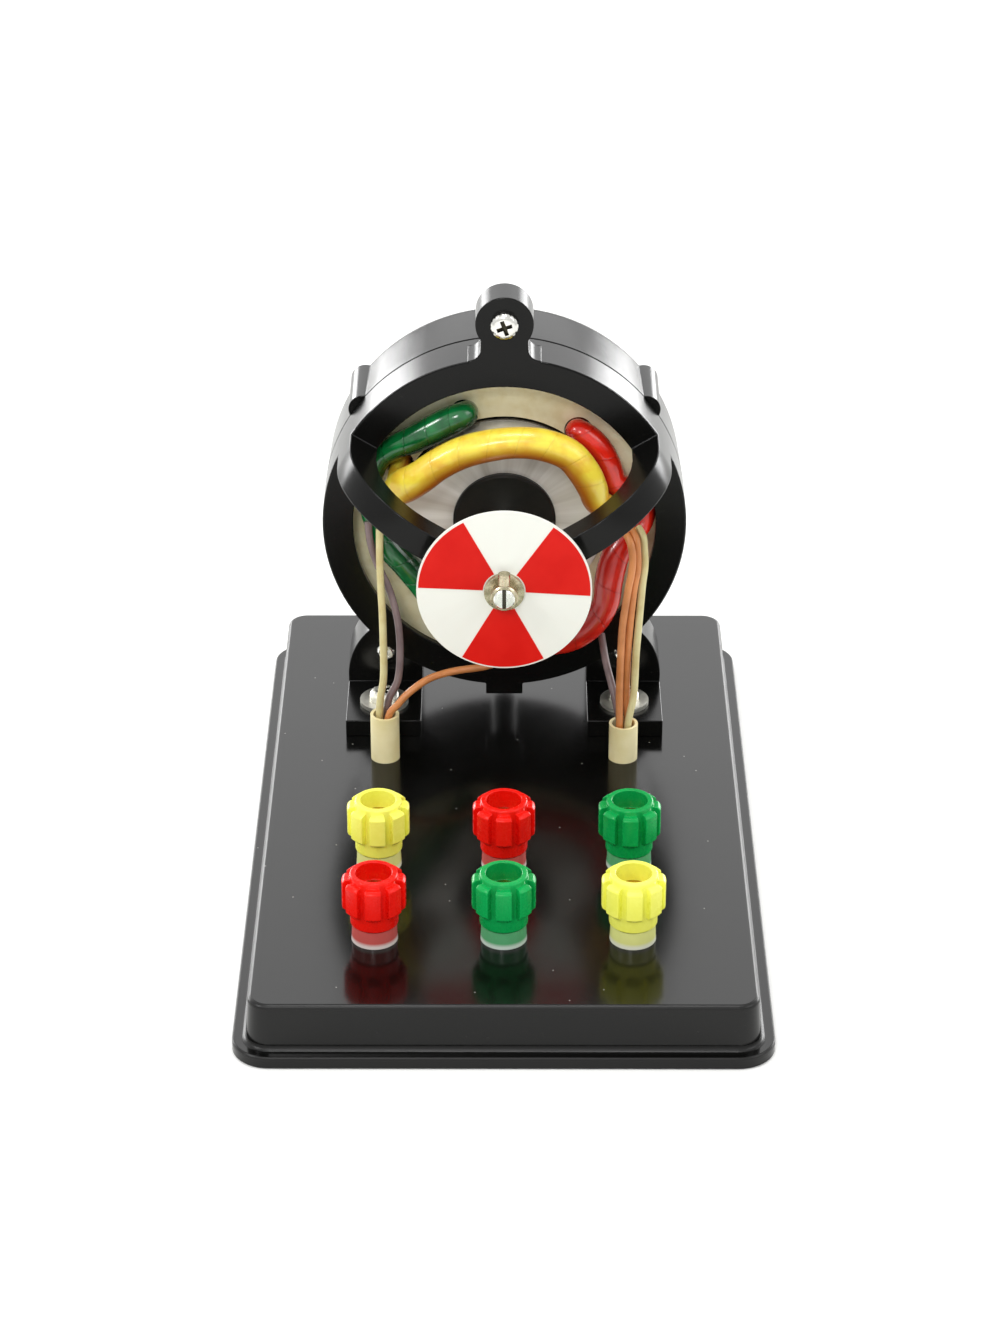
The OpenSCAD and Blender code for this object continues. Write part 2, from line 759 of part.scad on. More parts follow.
function yellow_stations() =
    let (r = yellow_d / 2, s = slot_r, back = rear_yellow_y)
        concat(
            side_front(yellow_slots[0]),
            [
                [153.5, s - 0.3, front_y + 8.5, 2.7], [152, s - 1.5, front_y + 3.4, r - 0.4],
                [144, s - 2.8, front_y + 0.3, r], [130, s - 3.8, front_y, r],
                [115, s - 4.2, front_y, r], [100, s - 4.3, front_y, r],
                [85, s - 3.7, front_y, r - 0.1], [70, s - 2.7, front_y, r],
                [55, s - 2, front_y, r], [42, s - 2.9, front_y, r],
                [31, s - 3.8, front_y + 0.4, r - 0.2], [20, s - 4.6, front_y + 2.1, r - 0.6],
                [10.5, s - 2.5, front_y + 4.7, 3.05], [4.5, s - 0.6, front_y + 9, 2.7],
                [3.3, s - 0.1, front_y + 12, 2.6]
            ],
            side_back(yellow_slots[1]),
            [
                [3.5, s + 0.3, core_end_y + 3.6, rear_tube - 0.15],
                [8, s - 0.4, back - 1.9, rear_tube], [20, s - 2, back - 0.3, rear_tube],
                [42, rear_yellow_r, back, rear_tube], [61, rear_yellow_r, back, rear_tube],
                [80, rear_yellow_r, back, rear_tube], [99, rear_yellow_r, back, rear_tube],
                [118, rear_yellow_r, back, rear_tube], [136, s - 2, back - 0.3, rear_tube],
                [148, s - 0.4, back - 1.9, rear_tube],
                [152.5, s + 0.3, core_end_y + 3.6, rear_tube - 0.15]
            ]
        );

function green_stations() =
    let (r = green_d / 2, s = slot_r, y = rear_cross_y, far = rear_cross_r)
        concat(
            side_front(green_slots[0]),
            [
                [108.5, s + 0.5, cross_y + 1.8, 2.9], [110, s + 1, cross_y - 0.6, r],
                [117, s + 1, cross_y - 1, r + 0.3], [127, s + 1.3, cross_y - 1, r + 0.3],
                [136, s + 2.3, cross_y - 0.8, r + 0.1], [145, cross_r - 1.3, cross_y - 0.2, 3],
                [153, cross_r, cross_y, cross_tube], [164, cross_r - 0.3, cross_y - 0.3, cross_tube],
                [172, s + 4.4, cross_y - 1.6, 2.9], [180, s + 2.4, front_y + 6, r - 0.2],
                [190, s, front_y + 3.6, r], [201, s - 2.4, front_y + 3, r],
                [213, s - 3.3, front_y + 3, r], [226, s - 2.8, front_y + 3.4, r],
                [238, s - 1.4, front_y + 5.4, r - 0.2], [246, s - 0.3, front_y + 9.4, 2.8]
            ],
            side_back(green_slots[1]),
            [
                [249.5, s + 0.4, y - 2.2, rear_tube - 0.3], [245, far - 3.4, y - 0.3, rear_tube - 0.1],
                [238, far - 0.4, y, rear_tube],
                [230, far, y, rear_tube], [213, far, y, rear_tube], [196, far, y, rear_tube],
                [180, far, y, rear_tube], [163, far, y, rear_tube], [146, far, y, rear_tube],
                [130, far, y, rear_tube], [122, far - 0.4, y, rear_tube],
                [115, far - 3.4, y - 0.3, rear_tube - 0.1],
                [110.5, s + 0.4, y - 2.2, rear_tube - 0.3]
            ]
        );

function red_stations() =
    let (r = red_d / 2, s = slot_r, y = rear_cross_y, far = rear_cross_r)
        concat(
            side_front(red_slots[0]),
            [
                [52, s + 0.3, cross_y + 2, 2.7], [52.5, s + 0.9, cross_y - 0.4, 3.1],
                [46, s + 1.2, cross_y - 0.6, 3.3], [38, s + 1.1, cross_y - 0.7, 3.3],
                [29, s + 0.5, cross_y - 0.7, 3.2], [21.5, s, cross_y - 0.6, 3.1],
                [15.5, s + 1.8, cross_y - 0.3, 2.9], [11, s + 4.2, cross_y, cross_tube],
                [4.5, cross_r, cross_y, cross_tube], [-1, cross_r - 0.9, cross_y - 1.6, 2.8],
                [-6, s + 1.8, front_y + 5, 3.2], [-13, s - 0.2, front_y + 3.3, 3.4],
                [-19, s - 0.5, front_y + 2.4, 3.5], [-27, s + 0.2, front_y + 1.4, 3.5],
                [-38, s + 2.8, front_y + 0.6, r - 0.2], [-50, s + 4, front_y + 0.1, r],
                [-62, s + 3.8, front_y, r],
                [-75, s + 2, front_y + 1, r], [-84, s + 1, front_y + 4.6, r - 0.3],
                [-89, s + 0.2, front_y + 9.6, 2.8]
            ],
            side_back(red_slots[1]),
            [
                [-89.5, s + 0.4, y - 2.2, rear_tube - 0.3], [-85, far - 3.4, y - 0.3, rear_tube - 0.1],
                [-78, far - 0.4, y, rear_tube],
                [-70, far, y, rear_tube], [-53, far, y, rear_tube], [-36, far, y, rear_tube],
                [-18, far, y, rear_tube], [0, far, y, rear_tube], [17, far, y, rear_tube],
                [30, far, y, rear_tube], [41, far - 0.4, y, rear_tube],
                [47.5, far - 3.4, y - 0.3, rear_tube - 0.1],
                [50.7, s + 0.4, y - 2.2, rear_tube - 0.3]
            ]
        );

module coil_yellow() {
    color(yellow)
        bound_coil(yellow_stations());
}

module coil_green() {
    color(green)
        bound_coil(green_stations());
}

module coil_red() {
    color(red)
        bound_coil(red_stations());
}

module front_bush() {
    color(brass)
        collar(bush_r, shaft_r + running_gap, hub_y, hub_y + hub_len);
}

module rear_bush() {
    color(brass)
        collar(bush_r, shaft_r + running_gap, rear_inner_y, rear_end_y);
}

module lug_screw() {
    color(steel)
        translate([0, ring_y, axis_z + lug_c])
            rotate([90, 0, 0])
                rotate([0, 0, 20])
                    pan_screw(lug_head_d, 2.2, lug_screw_d, lug_len + nut_h + 1);
}

module lug_nut() {
    color(steel)
        translate([0, ring_y + lug_len, axis_z + lug_c])
            rotate([-90, 0, 0])
                hex_nut(lug_nut_w, lug_screw_d / 2 + press_gap, nut_h);
}

module clamp_screws() {
    color(steel)
        for (side = [-1, 1])
            translate([side * leg_screw_x, part_y, leg_hole_z])
                rotate([90, 0, 0])
                    rotate([0, 0, 30])
                        pan_screw(clamp_head_d, 1.6, clamp_screw_d, clamp_screw_len);
}

module rear_lug_screws() {
    color(steel)
        for (a = rear_lugs)
            translate([rear_screw_c * cos(a), rear_lug_end, axis_z + rear_screw_c * sin(a)])
                rotate([-90, 0, 0])
                    pan_screw(rear_head_d, 1.6, rear_screw_d, rear_screw_len);
}

module foot_screws() {
    color(steel)
        for (side = [-1, 1])
            translate([side * foot_screw_x, foot_screw_y(), base_h + foot_t + foot_washer_t])
                rotate([0, 0, 35])
                    pan_screw(foot_head_d, foot_head_h, foot_screw_d,
                        foot_washer_t + foot_t + base_t + nut_h + 1);
}

module foot_washers() {
    color(steel)
        for (side = [-1, 1])
            difference() {
                rod_z(side * foot_screw_x, foot_screw_y(), foot_washer_r,
                    base_h + foot_t, base_h + foot_t + foot_washer_t);
                rod_z(side * foot_screw_x, foot_screw_y(), foot_screw_d / 2 + hole_gap,
                    base_h + foot_t - 1, base_h + foot_t + foot_washer_t + 1);
            }
}

module foot_nuts() {
    color(steel)
        for (side = [-1, 1])
            translate([side * foot_screw_x, foot_screw_y(), under_z - nut_h])
                hex_nut(foot_nut_w, foot_screw_d / 2 + press_gap, nut_h);
}

module wire_sleeves() {
    color(cream)
        for (side = [-1, 1]) {
            top_z = base_h + (side < 0 ? left_sleeve_h : right_sleeve_h);
            difference() {
                rod_z(side * sleeve_x, sleeve_y, sleeve_d / 2, sleeve_z0, top_z);
                rod_z(side * sleeve_x, sleeve_y, sleeve_d / 2 - sleeve_t, sleeve_z0 - 1, top_z + 1);
            }
        }
}

module wire_left_yellow() {
    color("#d9d08a")
        wire(route_left_yellow, wire_r);
}

module wire_left_purple() {
    color("#766464")
        wire(route_left_purple, wire_r);
}

module wire_left_orange() {
    color("#ce844f")
        wire(route_left_orange, wire_r);
}

module wire_right_purple() {
    color("#766464")
        wire(route_right_purple, wire_r);
}

module wire_right_orange_a() {
    color("#ce844f")
        wire(route_right_orange_a, wire_r);
}

module wire_right_orange_b() {
    color("#ce844f")
        wire(route_right_orange_b, wire_r);
}

module wire_right_cream() {
    color("#c4c49c")
        wire(route_right_cream, wire_r);
}

// The same piece at every binding post
module at_posts() {
    for (x = post_xs, y = [front_row_y, back_row_y])
        translate([x, y, 0])
            children();
}

module terminal_studs() {
    color(brass)
        at_posts()
            difference() {
                union() {
                    rod_z(0, 0, stud_d / 2, stud_foot_z, stud_top_z);
                    rod_z(0, 0, stud_collar_r, base_h, base_h + skirt_h);
                }
                rod_z(0, 0, socket_d / 2, stud_top_z - socket_depth, stud_top_z + 1);
            }
}

module terminal_skirts() {
    color("#d8d8cc", 0.6)
        at_posts()
            rotate_extrude($fn = small_fn)
                polygon([
                    [stud_collar_r + hole_gap, base_h], [skirt_d / 2, base_h],
                    [skirt_d / 2 - 0.2, base_h + skirt_h], [stud_collar_r + hole_gap, base_h + skirt_h]
                ]);
}

module terminal_nuts() {
    color(steel)
        at_posts() {
            translate([0, 0, under_z - nut_h])
                hex_nut(stud_nut_w, stud_d / 2 + press_gap, nut_h);
            translate([0, 0, tag_z - nut_h])
                hex_nut(stud_nut_w, stud_d / 2 + press_gap, nut_h);
        }
}

module solder_tags() {
    color(brass)
        at_posts()
            difference() {
                union() {
                    rod_z(0, 0, tag_r, tag_z, tag_z + tag_t);
                    translate([-1.8, 0, tag_z])
                        cube([3.6, tag_len - 1.8, tag_t]);
                    rod_z(0, tag_len - 1.8, 1.8, tag_z, tag_z + tag_t);
                }
                rod_z(0, 0, stud_d / 2 + hole_gap, tag_z - 1, tag_z + tag_t + 1);
            }
}

module shaft() {
    color(steel)
        difference() {
            turned([
                [0, shaft_y0], [shaft_r - edge, shaft_y0], [shaft_r, shaft_y0 + edge],
                [shaft_r, shaft_y1 - edge], [shaft_r - edge, shaft_y1], [0, shaft_y1]
            ], small_fn);
            translate([-slot_w / 2, shaft_y0 - 1, axis_z - shaft_r - 1])
                cube([slot_w, slot_depth + 1, shaft_d + 2]);
        }
}

module rotor_core() {
    color(iron)
        axis_view(rotor_y, rotor_end_y)
            difference() {
                circle(r = rotor_r, $fn = big_fn);
                circle(r = shaft_r + press_gap, $fn = small_fn);
                for (i = [0 : cage_bars - 1])
                    rotate(i * 360 / cage_bars)
                        translate([cage_r, 0])
                            circle(r = cage_bar_d / 2 + press_gap, $fn = small_fn);
            }
}

module rotor_cage() {
    color("#b9b6ae") {
        collar(rotor_r - edge, rotor_hub_r + press_gap, rotor_front_y, rotor_y, big_fn);
        collar(rotor_r - edge, rotor_hub_r + press_gap, rotor_end_y, rotor_end_y + rear_ring_t, big_fn);
        axis_view(rotor_y, rotor_end_y)
            for (i = [0 : cage_bars - 1])
                rotate(i * 360 / cage_bars)
                    translate([cage_r, 0])
                        circle(r = cage_bar_d / 2, $fn = small_fn);
    }
}

module rotor_hub() {
    color("#1e1d15")
        turned([
            [shaft_r + press_gap, rotor_front_y - hub_stand],
            [rotor_hub_r - edge * 2, rotor_front_y - hub_stand],
            [rotor_hub_r, rotor_front_y - hub_stand + edge * 2],
            [rotor_hub_r, rotor_y], [shaft_r + press_gap, rotor_y]
        ]);
}

module indicator_disc() {
    color("#f2f3ec")
        collar(disc_r, shaft_r + press_gap, 0, disc_t, big_fn);
}

// Red film on the front of the disc: three sectors inside the bare rim
module red_sectors() {
    color(red)
        axis_view(-film_t, 0)
            for (s = sectors)
                difference() {
                    intersection() {
                        circle(r = disc_r - disc_rim, $fn = big_fn);
                        polygon([
                            [0, 0], 40 * [cos(s[0]), sin(s[0])],
                            40 * [cos((s[0] + s[1]) / 2), sin((s[0] + s[1]) / 2)],
                            40 * [cos(s[1]), sin(s[1])]
                        ]);
                    }
                    circle(r = sector_in_r, $fn = small_fn);
                }
}

module disc_boss() {
    color(steel)
        difference() {
            turned([
                [shaft_r + press_gap, -boss_len], [boss_d / 2 - edge, -boss_len],
                [boss_d / 2, -boss_len + edge], [boss_d / 2, -flange_t],
                [flange_r, -flange_t], [flange_r, 0], [shaft_r + press_gap, 0]
            ], small_fn);
            rod_z(0, -(boss_len + flange_t) / 2, set_screw_d / 2 + press_gap, axis_z, axis_z + boss_d);
        }
}

module boss_set_screw() {
    color(steel)
        rod_z(0, -(boss_len + flange_t) / 2, set_screw_d / 2,
            axis_z + shaft_r + press_gap, axis_z + boss_d / 2 + set_screw_out);
}

module thrust_washers() {
    color(steel) {
        collar(clip_r, shaft_r + press_gap, hub_y + hub_len + running_gap,
            hub_y + hub_len + running_gap + washer_t);
        collar(clip_r, shaft_r + press_gap, rear_inner_y - running_gap - washer_t,
            rear_inner_y - running_gap);
    }
}

module retaining_rings() {
    front_clip_y = hub_y + hub_len + running_gap + washer_t;
    rear_clip_y = rear_inner_y - running_gap - washer_t - clip_t;
    color(steel)
        for (y = [front_clip_y, rear_clip_y])
            difference() {
                collar(clip_r - 0.2, shaft_r + press_gap, y, y + clip_t);
                translate([-0.8, y - 1, axis_z - clip_r - 1])
                    cube([1.6, clip_t + 2, clip_r]);
            }
}

// Brass insert moulded in a knob, bored to run on its stud
module insert(x, y) {
    color(brass)
        translate([x, y, 0])
            difference() {
                rod_z(0, 0, insert_r, insert_z0, insert_z1);
                rod_z(0, 0, stud_d / 2 + running_gap, insert_z0 - 1, insert_z1 + 1);
            }
}

// Knob with plain collars, broad teeth and a mouth for the plug
module knob(x, y, shade) {
    tooth_r = knob_d / 2;
    collar_r = knob_collar_d / 2;
    tooth_top = tooth_z + tooth_h;
    color(shade)
        translate([x, y, 0])
            difference() {
                union() {
                    rotate_extrude($fn = small_fn)
                        polygon([
                            [0, knob_z], [collar_r - 0.2, knob_z], [collar_r, knob_z + 0.2],
                            [collar_r, knob_top_z - edge], [collar_r - edge, knob_top_z],
                            [0, knob_top_z]
                        ]);
                    intersection() {
                        rotate_extrude($fn = small_fn)
                            polygon([
                                [0, tooth_z], [tooth_r - 0.9, tooth_z], [tooth_r, tooth_z + 0.9],
                                [tooth_r, tooth_top - 0.6], [tooth_r - 0.6, tooth_top],
                                [0, tooth_top]
                            ]);
                        translate([0, 0, tooth_z - 1])
                            linear_extrude(tooth_h + 2)
                                for (i = [0 : knob_teeth - 1])
                                    rotate(i * 360 / knob_teeth)
                                        polygon([
                                            [0, 0],
                                            2 * tooth_r * [cos(-tooth_angle / 2), sin(-tooth_angle / 2)],
                                            2 * tooth_r * [cos(tooth_angle / 2), sin(tooth_angle / 2)]
                                        ]);
                    }
                }
                rod_z(0, 0, insert_r + running_gap, knob_z - 1, insert_z1);
                rod_z(0, 0, mouth_d / 2, insert_z1, knob_top_z + 1);
            }
}

module insert_back_left() insert(post_xs[0], back_row_y);
module insert_back_middle() insert(post_xs[1], back_row_y);
module insert_back_right() insert(post_xs[2], back_row_y);
module insert_front_left() insert(post_xs[0], front_row_y);
module insert_front_middle() insert(post_xs[1], front_row_y);
module insert_front_right() insert(post_xs[2], front_row_y);
module knob_back_left() knob(post_xs[0], back_row_y, yellow);
module knob_back_middle() knob(post_xs[1], back_row_y, red);
module knob_back_right() knob(post_xs[2], back_row_y, green);
module knob_front_left() knob(post_xs[0], front_row_y, red);
module knob_front_middle() knob(post_xs[1], front_row_y, green);
module knob_front_right() knob(post_xs[2], front_row_y, yellow);

base_tray();
rear_frame();
front_frame();
stator_core();
front_insulation();
rear_insulation();
coil_yellow();
coil_green();
coil_red();
front_bush();
rear_bush();
lug_screw();
lug_nut();
clamp_screws();
rear_lug_screws();
foot_screws();
foot_washers();
foot_nuts();
wire_sleeves();
wire_left_yellow();
wire_left_purple();
wire_left_orange();
wire_right_purple();
wire_right_orange_a();
wire_right_orange_b();
wire_right_cream();
terminal_studs();
terminal_skirts();
terminal_nuts();
solder_tags();
shaft();
rotor_core();
rotor_cage();
rotor_hub();
indicator_disc();
red_sectors();
disc_boss();
boss_set_screw();
thrust_washers();
retaining_rings();
insert_back_left();
insert_back_middle();
insert_back_right();
insert_front_left();
insert_front_middle();
insert_front_right();
knob_back_left();
knob_back_middle();
knob_back_right();
knob_front_left();
knob_front_middle();
knob_front_right();
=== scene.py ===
import bpy
import math
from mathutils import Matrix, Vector


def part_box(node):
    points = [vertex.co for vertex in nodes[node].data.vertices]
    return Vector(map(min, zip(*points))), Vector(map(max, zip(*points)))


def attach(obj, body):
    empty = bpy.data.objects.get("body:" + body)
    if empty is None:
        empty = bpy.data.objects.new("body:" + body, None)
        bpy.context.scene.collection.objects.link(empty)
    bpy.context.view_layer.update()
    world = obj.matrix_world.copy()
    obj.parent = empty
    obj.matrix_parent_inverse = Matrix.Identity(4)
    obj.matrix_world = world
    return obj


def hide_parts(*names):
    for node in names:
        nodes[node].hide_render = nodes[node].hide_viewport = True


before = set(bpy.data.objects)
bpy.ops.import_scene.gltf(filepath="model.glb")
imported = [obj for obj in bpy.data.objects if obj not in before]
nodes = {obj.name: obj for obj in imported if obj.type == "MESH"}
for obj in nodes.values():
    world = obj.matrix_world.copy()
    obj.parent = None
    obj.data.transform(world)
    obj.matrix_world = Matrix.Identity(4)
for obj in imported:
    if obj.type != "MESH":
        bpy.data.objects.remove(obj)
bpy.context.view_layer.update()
mm = 0.001
print("loaded the packed motor,", len(nodes), "nodes")

# sizes that several pieces share, in millimetres
motor = {"axisZ": 68.6, "slotR": 28.2, "sideR": 2.5, "coreY": 44.0, "coreEnd": 58.0, "frontY": 29.0,
    "crossR": 33.95, "crossY": 38.35, "crossTube": 2.75, "rearTube": 2.85,
    "rearR": 34.65, "rearY": 63.85, "yellowRearR": 25.6, "yellowRearY": 66.55}


# one function turns a written colour into the linear one that the shader wants
def hexColour(text):
    channels = [int(text[i:i + 2], 16) / 255 for i in (1, 3, 5)]
    linear = [c / 12.92 if c <= 0.04045 else ((c + 0.055) / 1.055) ** 2.4 for c in channels]
    return (*linear, 1.0)


# adds a node; settings are attributes or socket values, links are socket to (node, output)
def addNode(tree, kind, settings=None, links=None):
    node = tree.nodes.new(kind)
    for key, value in (settings or {}).items():
        if isinstance(key, str) and hasattr(node, key):
            setattr(node, key, value)
        else:
            node.inputs[key].default_value = value
    for key, (source, output) in (links or {}).items():
        tree.links.new(source.outputs[output], node.inputs[key])
    return node


# one sum; values and links give its sockets by number
def addMath(tree, operation, values, links):
    return addNode(tree, "ShaderNodeMath", {"operation": operation, **values}, links)


# noise with its grain in millimetres, on a vector (node, output)
def addNoise(tree, vector, grainMm, detail):
    return addNode(tree, "ShaderNodeTexNoise",
        {"Scale": 1 / (grainMm * mm), "Detail": detail}, {"Vector": vector})


# carries a value (node, output) over to the range from low to high
def addRange(tree, value, low, high, fromLow=0.0, fromHigh=1.0):
    return addNode(tree, "ShaderNodeMapRange",
        {"From Min": fromLow, "From Max": fromHigh, "To Min": low, "To Max": high}, {"Value": value})


# ramp on a factor (node, output); a stop is (position, hex colour) or (position, grey)
def addRamp(tree, factor, stops):
    node = addNode(tree, "ShaderNodeValToRGB", {}, {"Fac": factor})
    ramp = node.color_ramp
    while len(ramp.elements) > len(stops):
        ramp.elements.remove(ramp.elements[-1])
    while len(ramp.elements) < len(stops):
        ramp.elements.new(1.0)
    for element, (position, shade) in zip(ramp.elements, stops):
        element.position = position
        element.color = hexColour(shade) if isinstance(shade, str) else (shade, shade, shade, 1.0)
    return node


# lays one colour over a base (node, output) as far as a factor (node, output) says
def addTint(tree, factor, base, shade):
    return addNode(tree, "ShaderNodeMix", {"data_type": "RGBA", "B": hexColour(shade)},
        {"Factor": factor, "A": base})


# empty material with its shader, its output and its coordinates
def newMaterial(name):
    material = bpy.data.materials.new(name)
    material.use_nodes = True
    tree = material.node_tree
    tree.nodes.clear()
    shader = addNode(tree, "ShaderNodeBsdfPrincipled")
    addNode(tree, "ShaderNodeOutputMaterial", {}, {"Surface": (shader, "BSDF")})
    place = addNode(tree, "ShaderNodeTexCoord")
    return material, tree, shader, place


# what is the same all over goes on the shader's own sockets
def setSockets(shader, values):
    for socket, value in values.items():
        shader.inputs[socket].default_value = value


# colour, roughness and the bump's height, each as (node, output), go to the shader
def linkSurface(tree, shader, colour, gloss, height=None, strength=0.0, depthMm=0.0):
    tree.links.new(colour[0].outputs[colour[1]], shader.inputs["Base Color"])
    tree.links.new(gloss[0].outputs[gloss[1]], shader.inputs["Roughness"])
    if height:
        bump = addNode(tree, "ShaderNodeBump", {"Strength": strength, "Distance": depthMm * mm},
            {"Height": height})
        tree.links.new(bump.outputs["Normal"], shader.inputs["Normal"])


# moulded polystyrene, glossy black: a faint ripple and fine dust, on the base some specks and duller edges
def makeGlossPolystyrene(name, settings):
    material, tree, shader, place = newMaterial(name)
    ripple = addNoise(tree, (place, "Object"), settings["rippleMm"], detail=1.0)
    dust = addNoise(tree, (place, "Object"), settings["dustMm"], detail=2.0)
    dusty = addRamp(tree, (dust, "Fac"),
        [(0.0, settings["colour"]), (0.70, settings["colour"]), (0.78, settings["dust"])])
    colour = (dusty, "Color")
    if "speck" in settings:
        cells = addNode(tree, "ShaderNodeTexVoronoi",
            {"voronoi_dimensions": "2D", "Scale": 1 / (settings["speckSpacingMm"] * mm)},
            {"Vector": (place, "Object")})
        speckReach = settings["speckMm"] / settings["speckSpacingMm"] / 2
        spot = addMath(tree, "LESS_THAN", {1: speckReach}, {0: (cells, "Distance")})
        colour = (addTint(tree, (spot, "Value"), colour, settings["speck"]), "Result")
    wipe = addNoise(tree, (place, "Object"), settings["wipeMm"], detail=4.0)
    wiped = addRange(tree, (wipe, "Fac"), settings["roughness"], settings["roughness"] + 0.06,
        fromLow=0.3, fromHigh=0.8)
    gloss = (wiped, "Result")
    if "edgeBandsMm" in settings:
        parts = addNode(tree, "ShaderNodeSeparateXYZ", {}, {"Vector": (place, "Object")})
        for middle, half in settings["edgeBandsMm"]:
            band = addMath(tree, "COMPARE", {1: middle * mm, 2: half * mm}, {0: (parts, "Z")})
            duller = addMath(tree, "MULTIPLY_ADD", {1: settings["edgeRoughness"]},
                {0: (band, "Value"), 2: gloss})
            gloss = (duller, "Value")
    setSockets(shader, {"IOR": 1.5, "Specular IOR Level": settings["specular"]})
    linkSurface(tree, shader, colour, gloss, (ripple, "Fac"), strength=0.06, depthMm=0.2)
    return material


# opaque plastic or board: a mottle in two tones, a grain in the bump and in the gloss
def makePlainSolid(name, settings):
    material, tree, shader, place = newMaterial(name)
    mottle = addNoise(tree, (place, "Object"), settings["mottleMm"], detail=3.0)
    grain = addNoise(tree, (place, "Object"), settings["grainMm"], detail=3.0)
    colour = addRamp(tree, (mottle, "Fac"), [(0.35, settings["shade"]), (0.62, settings["colour"])])
    gloss = addRange(tree, (grain, "Fac"), settings["roughness"] - 0.05, settings["roughness"] + 0.07)
    setSockets(shader, {"IOR": 1.5, "Specular IOR Level": settings.get("specular", 0.5)})
    linkSurface(tree, shader, (colour, "Color"), (gloss, "Result"), (grain, "Fac"),
        settings["bump"], depthMm=0.1)
    return material


# bare metal: two tones in patches, fine scratches, and painted shade in the slot across the shaft's front
# end
def makeBareMetal(name, settings):
    material, tree, shader, place = newMaterial(name)
    patches = addNoise(tree, (place, "Object"), settings["patchMm"], detail=4.0)
    patched = addRamp(tree, (patches, "Fac"), [(0.35, settings["shade"]), (0.65, settings["colour"])])
    colour = (patched, "Color")
    stretch = addNode(tree, "ShaderNodeMapping", {"Scale": settings.get("stretch", (1, 1, 1))},
        {"Vector": (place, "Object")})
    scratches = addNoise(tree, (stretch, "Vector"), settings["grainMm"], detail=3.0)
    gloss = addRange(tree, (scratches, "Fac"), settings["roughness"] - 0.08, settings["roughness"] + 0.1,
        fromLow=0.3, fromHigh=0.7)
    # painted shade: the faces inside the shaft's slot are darkened where shade falls
    if "slotHalf" in settings:
        parts = addNode(tree, "ShaderNodeSeparateXYZ", {}, {"Vector": (place, "Object")})
        aside = addMath(tree, "ABSOLUTE", {}, {0: (parts, "X")})
        inWidth = addMath(tree, "LESS_THAN", {1: settings["slotHalf"] * mm}, {0: (aside, "Value")})
        inDepth = addMath(tree, "LESS_THAN", {1: settings["slotEnd"] * mm}, {0: (parts, "Y")})
        inSlot = addMath(tree, "MULTIPLY", {}, {0: (inWidth, "Value"), 1: (inDepth, "Value")})
        colour = (addTint(tree, (inSlot, "Value"), colour, settings["slotPaintedShade"]), "Result")
    setSockets(shader, {"Metallic": 1.0})
    linkSurface(tree, shader, colour, (gloss, "Result"), (scratches, "Fac"), settings["bump"], depthMm=0.05)
    return material


# faced metal round the motor's axis: rays out from the shaft, brushing in the gloss and bump and painted
# sheen in the colour
def makeFacedMetal(name, settings):
    material, tree, shader, place = newMaterial(name)
    centred = addNode(tree, "ShaderNodeMapping",
        {"Location": (0.0, 0.0, -motor["axisZ"] * mm)}, {"Vector": (place, "Object")})
    parts = addNode(tree, "ShaderNodeSeparateXYZ", {}, {"Vector": (centred, "Vector")})
    angle = addMath(tree, "ARCTAN2", {}, {0: (parts, "Z"), 1: (parts, "X")})
    radius = addNode(tree, "ShaderNodeVectorMath", {"operation": "LENGTH"}, {0: (centred, "Vector")})
    polar = addNode(tree, "ShaderNodeCombineXYZ", {}, {"X": (angle, "Value"), "Y": (radius, "Value")})
    rays = addNode(tree, "ShaderNodeMapping", {"Scale": settings["rayScale"]}, {"Vector": (polar, "Vector")})
    brushingAndPaintedSheen = addNode(tree, "ShaderNodeTexNoise", {"Scale": 1.0, "Detail": 3.0},
        {"Vector": (rays, "Vector")})
    # painted sheen: light and dark rays stand in for the turned face's streaked reflection
    colour = addRamp(tree, (brushingAndPaintedSheen, "Fac"), [(0.3, settings["shade"]), (0.7, settings["colour"])])
    gloss = addRange(tree, (brushingAndPaintedSheen, "Fac"), settings["roughness"] - 0.08, settings["roughness"] + 0.1)
    setSockets(shader, {"Metallic": settings["metallic"], "Specular IOR Level": settings["specular"]})
    linkSurface(tree, shader, (colour, "Color"), (gloss, "Result"), (brushingAndPaintedSheen, "Fac"),
        settings["bump"], depthMm=0.05)
    return material
